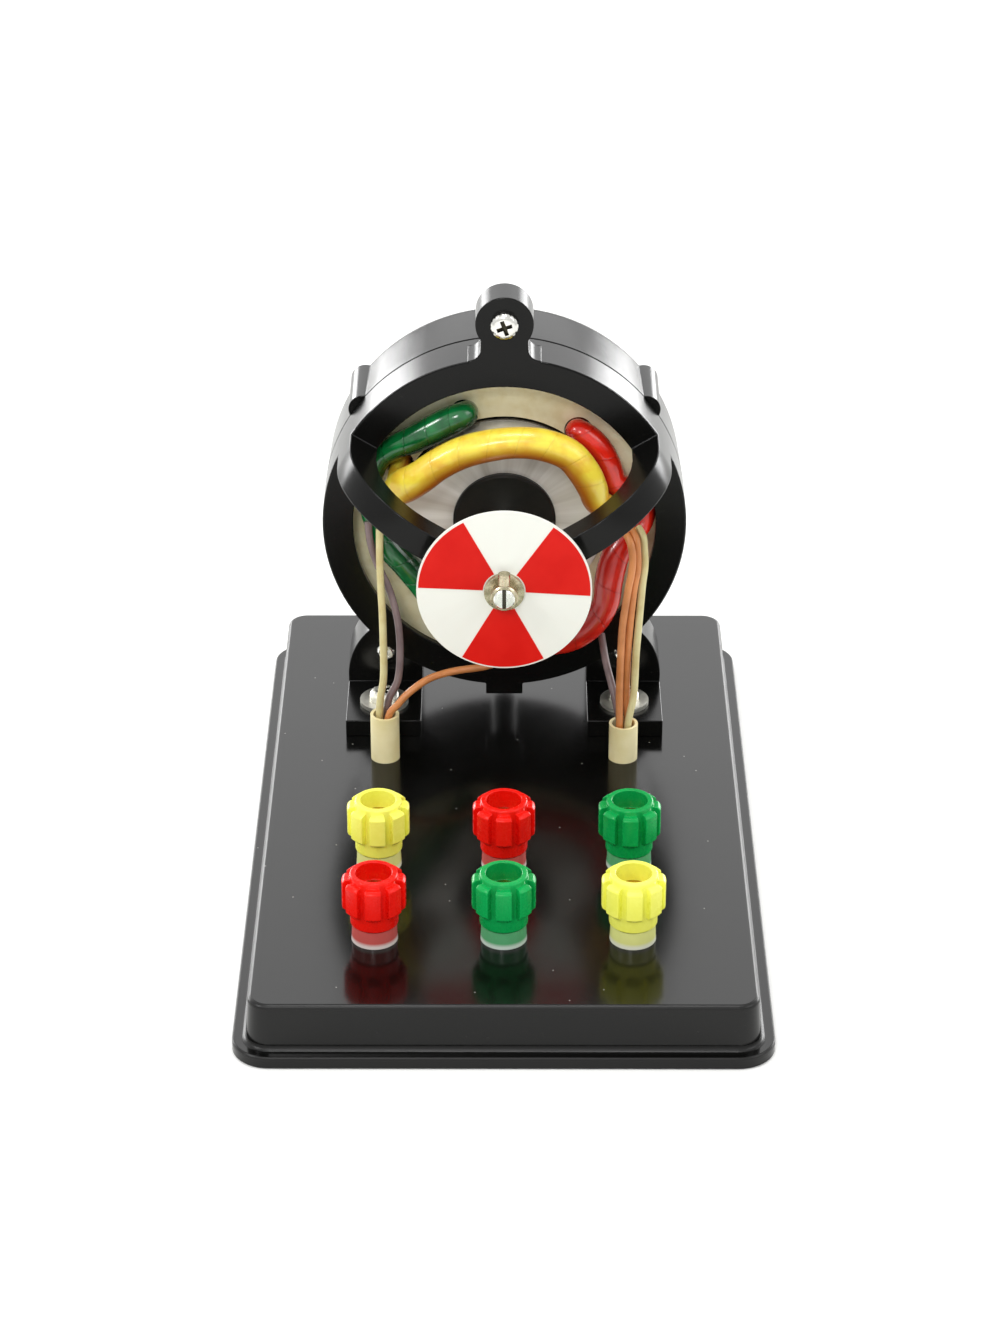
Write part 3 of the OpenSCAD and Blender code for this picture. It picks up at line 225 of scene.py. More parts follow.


# vinyl tape wound round a bundle: a soft edge at each turn, creases along it, and painted shade on the side
# towards the shaft
def makeBindingTape(name, settings):
    material, tree, shader, place = newMaterial(name)
    along = addNode(tree, "ShaderNodeSeparateXYZ", {}, {"Vector": (place, "UV")})
    # the UV runs in centimetres along the bundle and from 0 to 1 round it
    turns = addMath(tree, "DIVIDE", {1: settings["pitchMm"] / 10}, {0: (along, "X")})
    helix = addMath(tree, "ADD", {}, {0: (turns, "Value"), 1: (along, "Y")})
    step = addMath(tree, "FRACT", {}, {0: (helix, "Value")})
    edge = addRamp(tree, (step, "Value"), [(0.0, 0.0), (0.06, 0.75), (0.5, 1.0), (0.97, 0.9), (1.0, 0.0)])
    roundAngle = addMath(tree, "MULTIPLY", {1: 2 * math.pi}, {0: (along, "Y")})
    sine = addMath(tree, "SINE", {}, {0: (roundAngle, "Value")})
    cosine = addMath(tree, "COSINE", {}, {0: (roundAngle, "Value")})
    tube = addNode(tree, "ShaderNodeCombineXYZ", {},
        {"X": (along, "X"), "Y": (cosine, "Value"), "Z": (sine, "Value")})
    pulled = addNode(tree, "ShaderNodeMapping", {"Scale": (1.1, 2.6, 2.6)}, {"Vector": (tube, "Vector")})
    creases = addNode(tree, "ShaderNodeTexNoise", {"Scale": 1.0, "Detail": 3.0},
        {"Vector": (pulled, "Vector")})
    mottle = addNoise(tree, (place, "Object"), grainMm=4, detail=4.0)
    outer = addRamp(tree, (mottle, "Fac"), [(0.3, settings["shade"]), (0.6, settings["colour"])])
    # painted shade: the colour darkens on the side of the bundle that faces the shaft
    inward = addNode(tree, "ShaderNodeAttribute", {"attribute_name": "towardsShaft"})
    depth = addRange(tree, (inward, "Fac"), 0.0, 1.0, fromLow=0.34, fromHigh=0.76)
    colour = addTint(tree, (depth, "Result"), (outer, "Color"), settings["innerPaintedShade"])
    seams = addNode(tree, "ShaderNodeMix",
        {"data_type": "RGBA", "blend_type": "MULTIPLY", "Factor": settings["seamDark"]},
        {"A": (colour, "Result"), "B": (edge, "Color")})
    height = addMath(tree, "MULTIPLY_ADD", {1: 0.45}, {0: (creases, "Fac"), 2: (edge, "Color")})
    gloss = addRange(tree, (creases, "Fac"), settings["roughness"] - 0.06, settings["roughness"] + 0.12)
    setSockets(shader, {"Coat Weight": settings["coat"], "Coat Roughness": 0.12})
    linkSurface(tree, shader, (seams, "Result"), (gloss, "Result"), (height, "Value"),
        settings["bump"], depthMm=0.25)
    return material


# moulded acrylic, milky clear: a pale rim below and, above it, painted reflection of the knob's colour as
# seen through the clear plastic
def makeClearAcrylicPaintedKnobColour(name, settings):
    material, tree, shader, place = newMaterial(name)
    marks = addNoise(tree, (place, "Object"), grainMm=0.8, detail=2.0)
    gloss = addRange(tree, (marks, "Fac"), low=0.12, high=0.24)
    parts = addNode(tree, "ShaderNodeSeparateXYZ", {}, {"Vector": (place, "Object")})
    lowest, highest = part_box("terminal_skirts")
    climb = addRange(tree, (parts, "Z"), 0.0, 1.0, fromLow=lowest[2], fromHigh=highest[2])
    # painted reflection: above the pale rim the skirt takes the colour of the knob over it
    colour = addRamp(tree, (climb, "Result"),
        [(0.0, settings["rim"]), (0.14, settings["rim"]), (0.34, settings["paintedKnobColour"]), (1.0, settings["paintedKnobColour"])])
    setSockets(shader, {"IOR": 1.49, "Transmission Weight": 0.08})
    linkSurface(tree, shader, (colour, "Color"), (gloss, "Result"))
    return material


finishes = {
    "platform": makeGlossPolystyrene("mouldedBlackPolystyrene",
        {"colour": "#080807", "dust": "#232321", "dustMm": 0.5, "rippleMm": 9.0, "wipeMm": 26,
         "roughness": 0.13, "specular": 0.32, "speck": "#8d8d88", "speckMm": 0.35, "speckSpacingMm": 22.0,
         "edgeRoughness": 0.2, "edgeBandsMm": [(2.48, 0.49), (3.57, 0.54), (13.42, 0.54)]}),
    "frame": makeGlossPolystyrene("mouldedBlackPolystyreneFrame",
        {"colour": "#0a0a09", "dust": "#1c1c1a", "dustMm": 0.6, "rippleMm": 4.0, "wipeMm": 26,
         "roughness": 0.19, "specular": 0.2}),
    "board": makePlainSolid("creamPressboard",
        {"colour": "#fdf5d0", "shade": "#f4e9bd", "mottleMm": 3.0, "grainMm": 0.25, "bump": 0.3,
         "roughness": 0.45}),
    "sleeving": makePlainSolid("creamVinylSleeving",
        {"colour": "#fff3c2", "shade": "#f6e8ae", "mottleMm": 6.0, "grainMm": 0.6, "bump": 0.15,
         "roughness": 0.42}),
    "steel": makeBareMetal("zincPlatedSteel",
        {"colour": "#e9e8e2", "shade": "#d2d1cb", "patchMm": 6.0, "grainMm": 0.5, "bump": 0.02,
         "roughness": 0.16}),
    # the shaft's slot takes painted shade
    "shaftSteel": makeBareMetal("groundSteelShaft",
        {"colour": "#eeeee8", "shade": "#dcdbd4", "patchMm": 6.0, "grainMm": 0.5, "bump": 0.01,
         "roughness": 0.22, "slotHalf": 0.46, "slotEnd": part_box("shaft")[0][1] / mm + 1.02,
         "slotPaintedShade": "#4a463e"}),
    "bossBrass": makeBareMetal("nickelledBrassWornThin",
        {"colour": "#cbc1a6", "shade": "#968c72", "patchMm": 1.6, "grainMm": 0.6, "bump": 0.01,
         "roughness": 0.24}),
    "washerZinc": makeBareMetal("brightZincWasher",
        {"colour": "#f2f0e6", "shade": "#d8d6ca", "patchMm": 5.0, "grainMm": 0.6, "bump": 0.01,
         "roughness": 0.42}),
    # painted shadow for the screws' cross recesses
    "recess": makeBareMetal("paintedShadowScrewRecess",
        {"colour": "#4c493c", "shade": "#2f2d24", "patchMm": 1.0, "grainMm": 0.4, "bump": 0.05,
         "roughness": 0.5}),
    "iron": makeBareMetal("laminatedIron",
        {"colour": "#8c877d", "shade": "#5d5a54", "patchMm": 4.0, "grainMm": 0.5, "bump": 0.5,
         "roughness": 0.42, "stretch": (0.05, 1, 0.05)}),
    "cage": makeFacedMetal("facedCastAluminium",
        {"colour": "#f4f2ec", "shade": "#c2bdb1", "rayScale": (4, 25, 1), "bump": 0.03, "roughness": 0.3,
         "metallic": 0.25, "specular": 0.5}),
    "hub": makePlainSolid("blackPhenolicHub",
        {"colour": "#15140f", "shade": "#0e0d0a", "mottleMm": 3.0, "grainMm": 0.3, "bump": 0.2,
         "roughness": 0.4, "specular": 0.3}),
    "disc": makeFacedMetal("silverLacqueredAluminium",
        {"colour": "#f1f3eb", "shade": "#f0f1e9", "rayScale": (5, 60, 1), "bump": 0.02, "roughness": 0.36,
         "metallic": 0.0, "specular": 0.2}),
    "film": makePlainSolid("redVinylFilm",
        {"colour": "#dc1c14", "shade": "#d5150e", "mottleMm": 8.0, "grainMm": 0.8, "bump": 0.06,
         "roughness": 0.36, "specular": 0.15}),
    "brass": makeBareMetal("turnedBrass",
        {"colour": "#d8b25c", "shade": "#b08a3e", "patchMm": 1.5, "grainMm": 0.2, "bump": 0.12,
         "roughness": 0.26, "stretch": (1, 1, 3)}),
    # each tape's third tone is painted shade for its side towards the shaft
    "yellowTape": makeBindingTape("yellowVinylTape",
        {"colour": "#fde548", "shade": "#f1bf30", "innerPaintedShade": "#bb680c", "pitchMm": 7.0, "seamDark": 0.12,
         "bump": 0.3, "roughness": 0.3, "coat": 0.4}),
    "greenTape": makeBindingTape("greenVinylTape",
        {"colour": "#0f7a3b", "shade": "#0a592b", "innerPaintedShade": "#0a3a1b", "pitchMm": 6.0, "seamDark": 0.4,
         "bump": 0.45, "roughness": 0.14, "coat": 0.35}),
    "redTape": makeBindingTape("redVinylTape",
        {"colour": "#ee2a16", "shade": "#d31f13", "innerPaintedShade": "#a81c14", "pitchMm": 8.0, "seamDark": 0.25,
         "bump": 0.35, "roughness": 0.18, "coat": 0.3}),
}
# vinyl wires and moulded knobs differ only in their two tones, skirts in the knob's painted reflection and
# their rim
wireTones = {"yellowWire": ("creamVinylWire", "#d6cc96", "#c8b67c"),
    "purpleWire": ("dullPurpleVinylWire", "#7d6a6a", "#675555"),
    "orangeWire": ("orangeVinylWire", "#d58a50", "#c07841")}
for finish, (name, colour, shade) in wireTones.items():
    finishes[finish] = makePlainSolid(name, {"colour": colour, "shade": shade, "mottleMm": 5.0,
        "grainMm": 0.5, "bump": 0.1, "roughness": 0.36})
skirtTones = {"yellow": ("#f4f69a", "#fbfce2"), "red": ("#d4605a", "#f6e6e0"),
    "green": ("#62b57c", "#ddeee0")}
for hue, (paintedKnobColour, rim) in skirtTones.items():
    finishes[hue + "Skirt"] = makeClearAcrylicPaintedKnobColour(hue + "ClearAcrylicPaintedKnobColour", {"paintedKnobColour": paintedKnobColour, "rim": rim})
knobTones = {"yellow": ("#fdfd70", "#f9f962"), "red": ("#f31a0e", "#e8150b"),
    "green": ("#0ca551", "#099848")}
for hue, (colour, shade) in knobTones.items():
    finishes[hue + "Knob"] = makePlainSolid(hue + "MouldedPolystyrene", {"colour": colour, "shade": shade,
        "mottleMm": 6.0, "grainMm": 1.2, "bump": 0.02, "roughness": 0.26, "specular": 0.2})

# the posts by row and column, each with the colour of its knob
posts = {
    "back_left": "yellow", "back_middle": "red", "back_right": "green",
    "front_left": "red", "front_middle": "green", "front_right": "yellow",
}

# which CAD node takes which finish
nodeFinish = {
    "base_tray": "platform", "rear_frame": "frame", "front_frame": "frame", "stator_core": "iron",
    "front_insulation": "board", "rear_insulation": "board", "coil_yellow": "yellowTape",
    "coil_green": "greenTape", "coil_red": "redTape", "front_bush": "brass", "rear_bush": "brass",
    "lug_screw": "steel", "lug_nut": "steel", "clamp_screws": "steel", "rear_lug_screws": "steel",
    "foot_screws": "washerZinc", "foot_washers": "washerZinc", "foot_nuts": "steel",
    "wire_sleeves": "sleeving", "wire_left_yellow": "yellowWire", "wire_left_purple": "purpleWire",
    "wire_left_orange": "orangeWire", "wire_right_purple": "purpleWire",
    "wire_right_orange_a": "orangeWire", "wire_right_orange_b": "orangeWire",
    "wire_right_cream": "yellowWire", "terminal_studs": "brass", "terminal_skirts": "yellowSkirt",
    "terminal_nuts": "brass", "solder_tags": "brass", "shaft": "shaftSteel", "rotor_core": "iron",
    "rotor_cage": "cage", "rotor_hub": "hub", "indicator_disc": "disc", "red_sectors": "film",
    "disc_boss": "bossBrass", "boss_set_screw": "bossBrass", "thrust_washers": "steel",
    "retaining_rings": "steel",
}
for post, hue in posts.items():
    nodeFinish["insert_" + post] = "brass"
    nodeFinish["knob_" + post] = hue + "Knob"
for nodeName, finish in nodeFinish.items():
    mesh = nodes[nodeName].data
    mesh.materials.clear()
    mesh.materials.append(finishes[finish])
print("finishes on", len(nodeFinish), "nodes")


# nothing else selected, one object active
def activate(piece):
    bpy.ops.object.select_all(action="DESELECT")
    piece.select_set(True)
    bpy.context.view_layer.objects.active = piece


# how near points are made one, how level faces are made one, and past which angle an edge is sharp
weld = {"reachMm": 0.002, "level": math.radians(0.5), "sharp": math.radians(38)}


# merged copy of a node, its flats whole again, its edges rounded as a mould leaves them
def softenedCopy(nodeName, pieceName, edgeMm):
    piece = bpy.data.objects.new(pieceName, nodes[nodeName].data.copy())
    bpy.context.scene.collection.objects.link(piece)
    activate(piece)
    bpy.ops.object.mode_set(mode="EDIT")
    bpy.ops.mesh.select_all(action="SELECT")
    bpy.ops.mesh.remove_doubles(threshold=weld["reachMm"] * mm)
    bpy.ops.mesh.dissolve_limited(angle_limit=weld["level"])
    bpy.ops.object.mode_set(mode="OBJECT")
    bpy.ops.object.shade_smooth_by_angle(angle=weld["sharp"])
    if edgeMm > 0:
        bevel = piece.modifiers.new("edges", "BEVEL")
        bevel.width = edgeMm * mm
        bevel.segments = 2
        bevel.limit_method = "ANGLE"
        bevel.angle_limit = weld["sharp"]
        bevel.use_clamp_overlap = False
        bpy.ops.object.modifier_apply(modifier="edges")
        even = piece.modifiers.new("even", "WEIGHTED_NORMAL")
        even.weight = 100
        even.keep_sharp = True
        bpy.ops.object.modifier_apply(modifier="even")
    return piece


# smooth points through given stations (x, y, z, radius), closed or open
def smoothPoints(stations, steps, closed):
    count = len(stations)
    result = []
    spans = count if closed else count - 1
    for i in range(spans):
        if closed:
            four = [stations[(i + k) % count] for k in (-1, 0, 1, 2)]
        else:
            four = [stations[min(max(i + k, 0), count - 1)] for k in (-1, 0, 1, 2)]
        a, b, c, d = [Vector(p) for p in four]
        for k in range(steps):
            t = k / steps
            result.append(0.5 * (2 * b + (c - a) * t + (2 * a - 5 * b + 4 * c - d) * t * t
                + (3 * b - a - 3 * c + d) * t * t * t))
    if not closed:
        result.append(Vector(stations[-1]))
    return result


# the bundle's UV holds centimetres along it and the part of a turn round it
def layBundleUv(mesh, points, closed, sides):
    rings = len(points)
    lengths = [0.0]
    for i in range(rings):
        a, b = Vector(points[i][:3]), Vector(points[(i + 1) % rings][:3])
        lengths.append(lengths[-1] + (b - a).length / 10)
    while mesh.uv_layers:
        mesh.uv_layers.remove(mesh.uv_layers[0])
    layer = mesh.uv_layers.new(name="alongBundle")
    for face in mesh.polygons:
        spots = [(mesh.loops[j].vertex_index // sides, mesh.loops[j].vertex_index % sides)
            for j in face.loop_indices]
        wrapsRing = closed and max(s[0] for s in spots) - min(s[0] for s in spots) > 1
        wrapsSide = max(s[1] for s in spots) - min(s[1] for s in spots) > 1
        for j, (ring, side) in zip(face.loop_indices, spots):
            along = lengths[min(ring, rings - 1)] if not (wrapsRing and ring == 0) else lengths[rings]
            turn = 1.0 if wrapsSide and side == 0 else side / sides
            layer.data[j].uv = (along, turn)


# each point's attribute runs from 0 on the side away from the shaft to 1 on the side towards it; the tapes
# paint shade by it
def markTowardsShaft(mesh, points, sides):
    inward = mesh.attributes.new("towardsShaft", "FLOAT", "POINT")
    for i, point in enumerate(points):
        centre = Vector(point[:3]) * mm
        towards = Vector((-centre.x, 0, motor["axisZ"] * mm - centre.z)).normalized()
        for k in range(sides):
            away = (mesh.vertices[i * sides + k].co - centre).normalized()
            inward.data[i * sides + k].value = 0.5 + 0.5 * away.dot(towards)


# round bundle along its points (x, y, z, radius)
def makeBundle(name, points, closed, quarterSteps):
    curve = bpy.data.curves.new(name, "CURVE")
    curve.dimensions = "3D"
    curve.twist_mode = "MINIMUM"
    curve.bevel_depth = 1.0
    curve.bevel_resolution = quarterSteps * 2 - 2  # a full round has 4 sides and 2 for each step of this
    curve.use_fill_caps = not closed
    spline = curve.splines.new("POLY")
    spline.points.add(len(points) - 1)
    for point, target in zip(points, spline.points):
        target.co = (point[0] * mm, point[1] * mm, point[2] * mm, 1.0)
        target.radius = point[3] * mm
    spline.use_cyclic_u = closed
    spline.use_smooth = True
    piece = bpy.data.objects.new(name, curve)
    bpy.context.scene.collection.objects.link(piece)
    activate(piece)
    bpy.ops.object.convert(target="MESH")
    piece = bpy.context.view_layer.objects.active
    sides = quarterSteps * 4
    layBundleUv(piece.data, points, closed, sides)
    markTowardsShaft(piece.data, points, sides)
    return piece


# a coil's station is its angle round the shaft, its radius from it, its distance back and its tube's radius
def coilPlace(angle, radius, back, tube):
    turn = math.radians(angle)
    return (radius * math.cos(turn), back, motor["axisZ"] + radius * math.sin(turn), tube)


slotR, sideR, front = motor["slotR"], motor["sideR"], motor["frontY"]
crossR, crossY, crossTube = motor["crossR"], motor["crossY"], motor["crossTube"]
rearR, rearY, rearTube = motor["rearR"], motor["rearY"], motor["rearTube"]
yellowR, yellowY = motor["yellowRearR"], motor["yellowRearY"]
coreY, coreEnd = motor["coreY"], motor["coreEnd"]


# the side of a coil in its slot, from the front to the back
def sideBack(angle):
    return [(angle, slotR, back, sideR) for back in (coreY, (coreY + coreEnd) / 2, coreEnd)]


# the same from the back to the front
def sideFront(angle):
    return sideBack(angle)[::-1]


# even stations round the back at one radius and distance back
def rearRun(angles, radius, back):
    return [(angle, radius, back, rearTube) for angle in angles]


# rear end outside the yellow coil's: out from one slot, round, and in to the other
def outerRearEnd(leaving, across, entering):
    climb = [(slotR + 0.4, rearY - 2.2, 2.55), (rearR - 3.4, rearY - 0.3, 2.75),
        (rearR - 0.4, rearY, rearTube)]
    rising = [(angle, *step) for angle, step in zip(leaving, climb)]
    falling = [(angle, *step) for angle, step in zip(entering, climb[::-1])]
    return rising + rearRun(across, rearR, rearY) + falling


coils = {
    "coil_yellow": {"finish": "yellowTape", "stations": sideFront(153) + [
        (157, slotR + 0.1, front + 8.3, 2.2), (158, slotR - 0.6, front + 4.4, 3.7),
        (152.5, slotR - 1.5, front + 1.8, 4.2), (143, slotR - 3, front + 0.2, 4),
        (130, slotR - 3.8, front, 3.85), (115, slotR - 4.2, front, 3.85), (100, slotR - 4.3, front, 3.85),
        (85, slotR - 3.7, front, 3.75), (70, slotR - 2.7, front, 3.85), (55, slotR - 2, front, 3.85),
        (42, slotR - 2.9, front, 3.85), (31, slotR - 3.8, front + 0.4, 3.65),
        (20, slotR - 4.6, front + 2.1, 3.25), (10.5, slotR - 2.5, front + 4.7, 3.05),
        (4.5, slotR - 0.6, front + 9, 2.7), (3.3, slotR - 0.1, front + 12, 2.6)] + sideBack(3) + [
        (3.5, slotR + 0.3, coreEnd + 3.6, 2.7), (8, slotR - 0.4, yellowY - 1.9, rearTube),
        (20, slotR - 2, yellowY - 0.3, rearTube)] + rearRun((42, 61, 80, 99, 118), yellowR, yellowY) + [
        (136, slotR - 2, yellowY - 0.3, rearTube), (148, slotR - 0.4, yellowY - 1.9, rearTube),
        (152.5, slotR + 0.3, coreEnd + 3.6, 2.7)]},
    "coil_green": {"finish": "greenTape", "stations": sideFront(110) + [
        (108.5, slotR + 0.5, crossY + 1.8, 2.9), (110, slotR + 1, crossY - 0.6, 3.3),
        (117, slotR + 1, crossY - 1, 3.6), (127, slotR + 1.3, crossY - 1, 3.6),
        (136, slotR + 2.3, crossY - 0.8, 3.4), (145, crossR - 1.3, crossY - 0.2, 3),
        (153, crossR, crossY, crossTube), (164, crossR - 0.3, crossY - 0.3, crossTube),
        (172, slotR + 4.4, crossY - 1.6, 2.9), (180, slotR + 2.4, front + 6, 3.1),
        (190, slotR, front + 3.6, 3.3), (201, slotR - 2.4, front + 3, 3.3),
        (213, slotR - 3.3, front + 3, 3.3), (226, slotR - 2.8, front + 3.4, 3.3),
        (238, slotR - 1.4, front + 5.4, 3.1), (246, slotR - 0.3, front + 9.4, 2.8)] + sideBack(250)
        + outerRearEnd((249.5, 245, 238), (230, 213, 196, 180, 163, 146, 130), (122, 115, 110.5))},
    "coil_red": {"finish": "redTape", "stations": sideFront(51) + [
        (52, slotR + 0.3, crossY + 2, 2.7), (52.5, slotR + 0.9, crossY - 0.4, 3.1),
        (46, slotR + 1.2, crossY - 0.6, 3.3), (38, slotR + 1.1, crossY - 0.7, 3.3),
        (29, slotR + 0.5, crossY - 0.7, 3.2), (21.5, slotR, crossY - 0.6, 3.1),
        (15.5, slotR + 1.8, crossY - 0.3, 2.9), (11, slotR + 4.2, crossY, crossTube),
        (4.5, crossR, crossY, crossTube), (-1, crossR - 0.9, crossY - 1.6, 2.8),
        (-6, slotR + 1.8, front + 5, 3.2), (-13, slotR - 0.2, front + 3.3, 3.4),
        (-19, slotR - 0.5, front + 2.4, 3.5), (-27, slotR + 0.2, front + 1.4, 3.5),
        (-38, slotR + 2.8, front + 0.6, 3.3), (-50, slotR + 4, front + 0.1, 3.5),
        (-62, slotR + 3.8, front, 3.5), (-75, slotR + 2, front + 1, 3.5),
        (-84, slotR + 1, front + 4.6, 3.2), (-89, slotR + 0.2, front + 9.6, 2.8)] + sideBack(-90)
        + outerRearEnd((-89.5, -85, -78), (-70, -53, -36, -18, 0, 17, 30), (41, 47.5, 50.7))},
}
coilMesh = {"steps": 6, "quarterSteps": 7}
for coilName, coil in coils.items():
    points = smoothPoints([coilPlace(*station) for station in coil["stations"]], coilMesh["steps"], True)
    piece = makeBundle(coilName.replace("coil_", "boundCoil_"), points, True, coilMesh["quarterSteps"])
    piece.data.materials.append(finishes[coil["finish"]])
    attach(piece, "stand")
    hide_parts(coilName)
print("bound the three coils")

wires = {
    "wire_left_yellow": {"finish": "yellowWire", "route": [
        (-30, 30.5, 69.4), (-30, 28.2, 63), (-29.8, 26.2, 56.8), (-29.4, 23.6, 50), (-29.2, 21, 43.5),
        (-29.2, 18.8, 35), (-30.2, 17.1, 27.5), (-30.2, 17.1, 8.6), (-30, 14, 6), (-29, -19, 6),
        (-29, -23.6, 6.4), (-29, -23.6, 8.3)]},
    "wire_left_purple": {"finish": "purpleWire", "route": [
        (-32.8, 31.8, 70.8), (-32.2, 30.5, 65.5), (-30.6, 30, 60), (-27.8, 27.6, 54.6), (-25.8, 24.4, 48),
        (-25.2, 21.4, 41), (-25.8, 19.4, 34), (-28.4, 18.3, 27), (-28.4, 18.3, 7.5), (-31, 14, 3.6),
        (-37, 4, 3.6), (-37, -49, 3.6), (-29.4, -55.2, 6), (-29, -55.2, 8.3)]},
    "wire_left_orange": {"finish": "orangeWire", "route": [
        (1.2, 32.3, 36.2), (-1.6, 29.4, 33.8), (-5.4, 26.8, 33.6), (-12, 23, 34.6), (-18, 20, 34.2),
        (-22.6, 17.6, 32), (-25.6, 16.3, 29.2), (-28.3, 15.9, 24.5), (-28.3, 15.9, 8.6), (-26.5, 12.5, 6),
        (-2.4, -19, 6), (-1, -23.6, 6.4), (-1, -23.6, 8.3)]},
    "wire_right_purple": {"finish": "purpleWire", "route": [
        (23.7, 30.9, 40.6), (24.6, 26.2, 36.2), (26, 22.2, 31.8), (27.2, 19.4, 27.4), (28, 18.1, 23),
        (28, 18.1, 9), (25.6, 18.4, 7), (20, -10, 6.8), (9.5, -40, 6.4), (0.4, -55.2, 6), (0, -55.2, 8.3)]},
    "wire_right_orange_a": {"finish": "orangeWire", "route": [
        (28.9, 29, 69.2), (30.1, 26.4, 68), (30.7, 24.6, 65), (30.5, 23.6, 61.3), (29.6, 22.2, 56.6),
        (28.5, 20.6, 48.5), (28.1, 19, 40.7), (27.9, 18, 30.7), (28, 16.4, 25), (28, 16.1, 22),
        (28, 16.1, 6.8), (25, 11, 4), (3, -19.4, 4), (1, -23.6, 5.6), (1, -23.6, 8.3)]},
    "wire_right_orange_b": {"finish": "orangeWire", "route": [
        (30.7, 30.2, 69.4), (31.6, 27.6, 68), (31.9, 26.2, 65.6), (32, 25.3, 61.5), (31.2, 24, 56.6),
        (30.3, 21.8, 47.9), (29.8, 20.6, 40.1), (29.6, 19.8, 30.4), (29.9, 18.5, 24.8), (30, 18.1, 22),
        (30, 18.1, 7), (32, 14, 4), (37, 4, 4), (37, -49, 4), (29.4, -55.2, 6), (29, -55.2, 8.3)]},
    "wire_right_cream": {"finish": "yellowWire", "route": [
        (32.2, 31.6, 69.4), (33.3, 29.4, 68), (33.6, 28.1, 65.6), (33.8, 27, 61.5), (33.2, 25.4, 56.6),
        (32.4, 22.2, 47.8), (31.8, 20.2, 40.3), (31.4, 18.3, 30.9), (30.2, 16.3, 25), (30, 16.1, 22),
        (30, 16.1, 8.6), (30, 13, 6), (29, -19, 6), (29, -23.6, 6.4), (29, -23.6, 8.3)]},
}
wireMesh = {"radius": 0.9, "steps": 6, "quarterSteps": 4}
for wireName, wire in wires.items():
    stations = [(*spot, wireMesh["radius"]) for spot in wire["route"]]
    points = smoothPoints(stations, wireMesh["steps"], False)
    piece = makeBundle(wireName.replace("wire_", "lead_"), points, False, wireMesh["quarterSteps"])
    piece.data.materials.append(finishes[wire["finish"]])
    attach(piece, "stand")
    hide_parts(wireName)
print("laid the seven wires")

# one skirt for each post, given the painted reflection of the knob above it and sorted by where it stands,
# in metres
skirtSort = {"betweenRows": -0.048, "besideMiddle": 0.01}
softenedCopy("terminal_skirts", "skirts", 0)
bpy.ops.mesh.separate(type="LOOSE")
for piece in [p for p in bpy.context.selected_objects if p.name.startswith("skirts")]:
    spots = [v.co for v in piece.data.vertices]
    middleX = sum(v.x for v in spots) / len(spots)
    middleY = sum(v.y for v in spots) / len(spots)
    row = "back" if middleY > skirtSort["betweenRows"] else "front"
    column = "middle"
    if abs(middleX) > skirtSort["besideMiddle"]:
        column = "left" if middleX < 0 else "right"
    post = row + "_" + column
    piece.name = "paintedKnobColouredSkirt_" + post
    piece.data.materials.clear()
    piece.data.materials.append(finishes[posts[post] + "Skirt"])
    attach(piece, "stand")
    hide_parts("terminal_skirts")
print("tinted the six skirts")

# moulded edges rounded on copies, each in the place of its node; edges in millimetres
softEdges = {
    "front_frame": {"piece": "roundedFrontFrame", "edge": 0.22, "body": "stand"},
    "rear_frame": {"piece": "roundedRearFrame", "edge": 0.18, "body": "stand"},
}
for post in posts:
    softEdges["knob_" + post] = {"piece": "roundedKnob_" + post, "edge": 0.14, "body": "knob_body_" + post}
for nodeName, soft in softEdges.items():
    piece = softenedCopy(nodeName, soft["piece"], soft["edge"])
    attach(piece, soft["body"])
    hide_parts(nodeName)
print("rounded the moulded edges")

# screw heads with their cross recess in shadow, in millimetres: the head's radius, how far out its recess
# reaches, the edge's round, and how deep below the face the shadow starts and ends
screwHeads = {
    "lug_screw": {"faces": "front", "radius": 3.35, "recess": 1.95, "edge": 0.06, "depth": (0.07, 1.3)},
    "foot_screws": {"faces": "up", "radius": 3.6, "recess": 2.1, "edge": 0.06, "depth": (0.07, 1.3)},
}
for nodeName, head in screwHeads.items():
    lowest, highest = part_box(nodeName)
    middle = [(a + b) / 2 for a, b in zip(lowest, highest)]
    piece = softenedCopy(nodeName, "crossHead_" + nodeName, head["edge"])
    piece.data.materials.append(finishes["recess"])
    for face in piece.data.polygons:
        spot = face.center
        if head["faces"] == "front":
            depth = spot.y - lowest[1]
            aside = math.hypot(spot.x - middle[0], spot.z - middle[2])
        else:
            depth = highest[2] - spot.z
            centreX = math.copysign(highest[0] - head["radius"] * mm, spot.x)
            aside = math.hypot(spot.x - centreX, spot.y - middle[1])
        if head["depth"][0] * mm < depth < head["depth"][1] * mm and aside < head["recess"] * mm:
            face.material_index = 1
    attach(piece, "stand")
    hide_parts(nodeName)
print("shadowed the screw recesses")

# camera at the photograph's place, its lens on the long side of the frame
cameraView = {"place": (0.00066, -0.74646, 0.45957), "pitchDown": 28.84, "yaw": 0.126, "lens": 97.66,
    "filmHeight": 36, "farthest": 20}
camera = bpy.data.objects.new("photographCamera", bpy.data.cameras.new("photographCamera"))
bpy.context.scene.collection.objects.link(camera)
camera.location = cameraView["place"]
camera.rotation_euler = (math.radians(90 - cameraView["pitchDown"]), 0, math.radians(cameraView["yaw"]))
camera.data.sensor_fit = "VERTICAL"
camera.data.sensor_height = cameraView["filmHeight"]
camera.data.lens = cameraView["lens"]
camera.data.clip_end = cameraView["farthest"]
bpy.context.scene.camera = camera

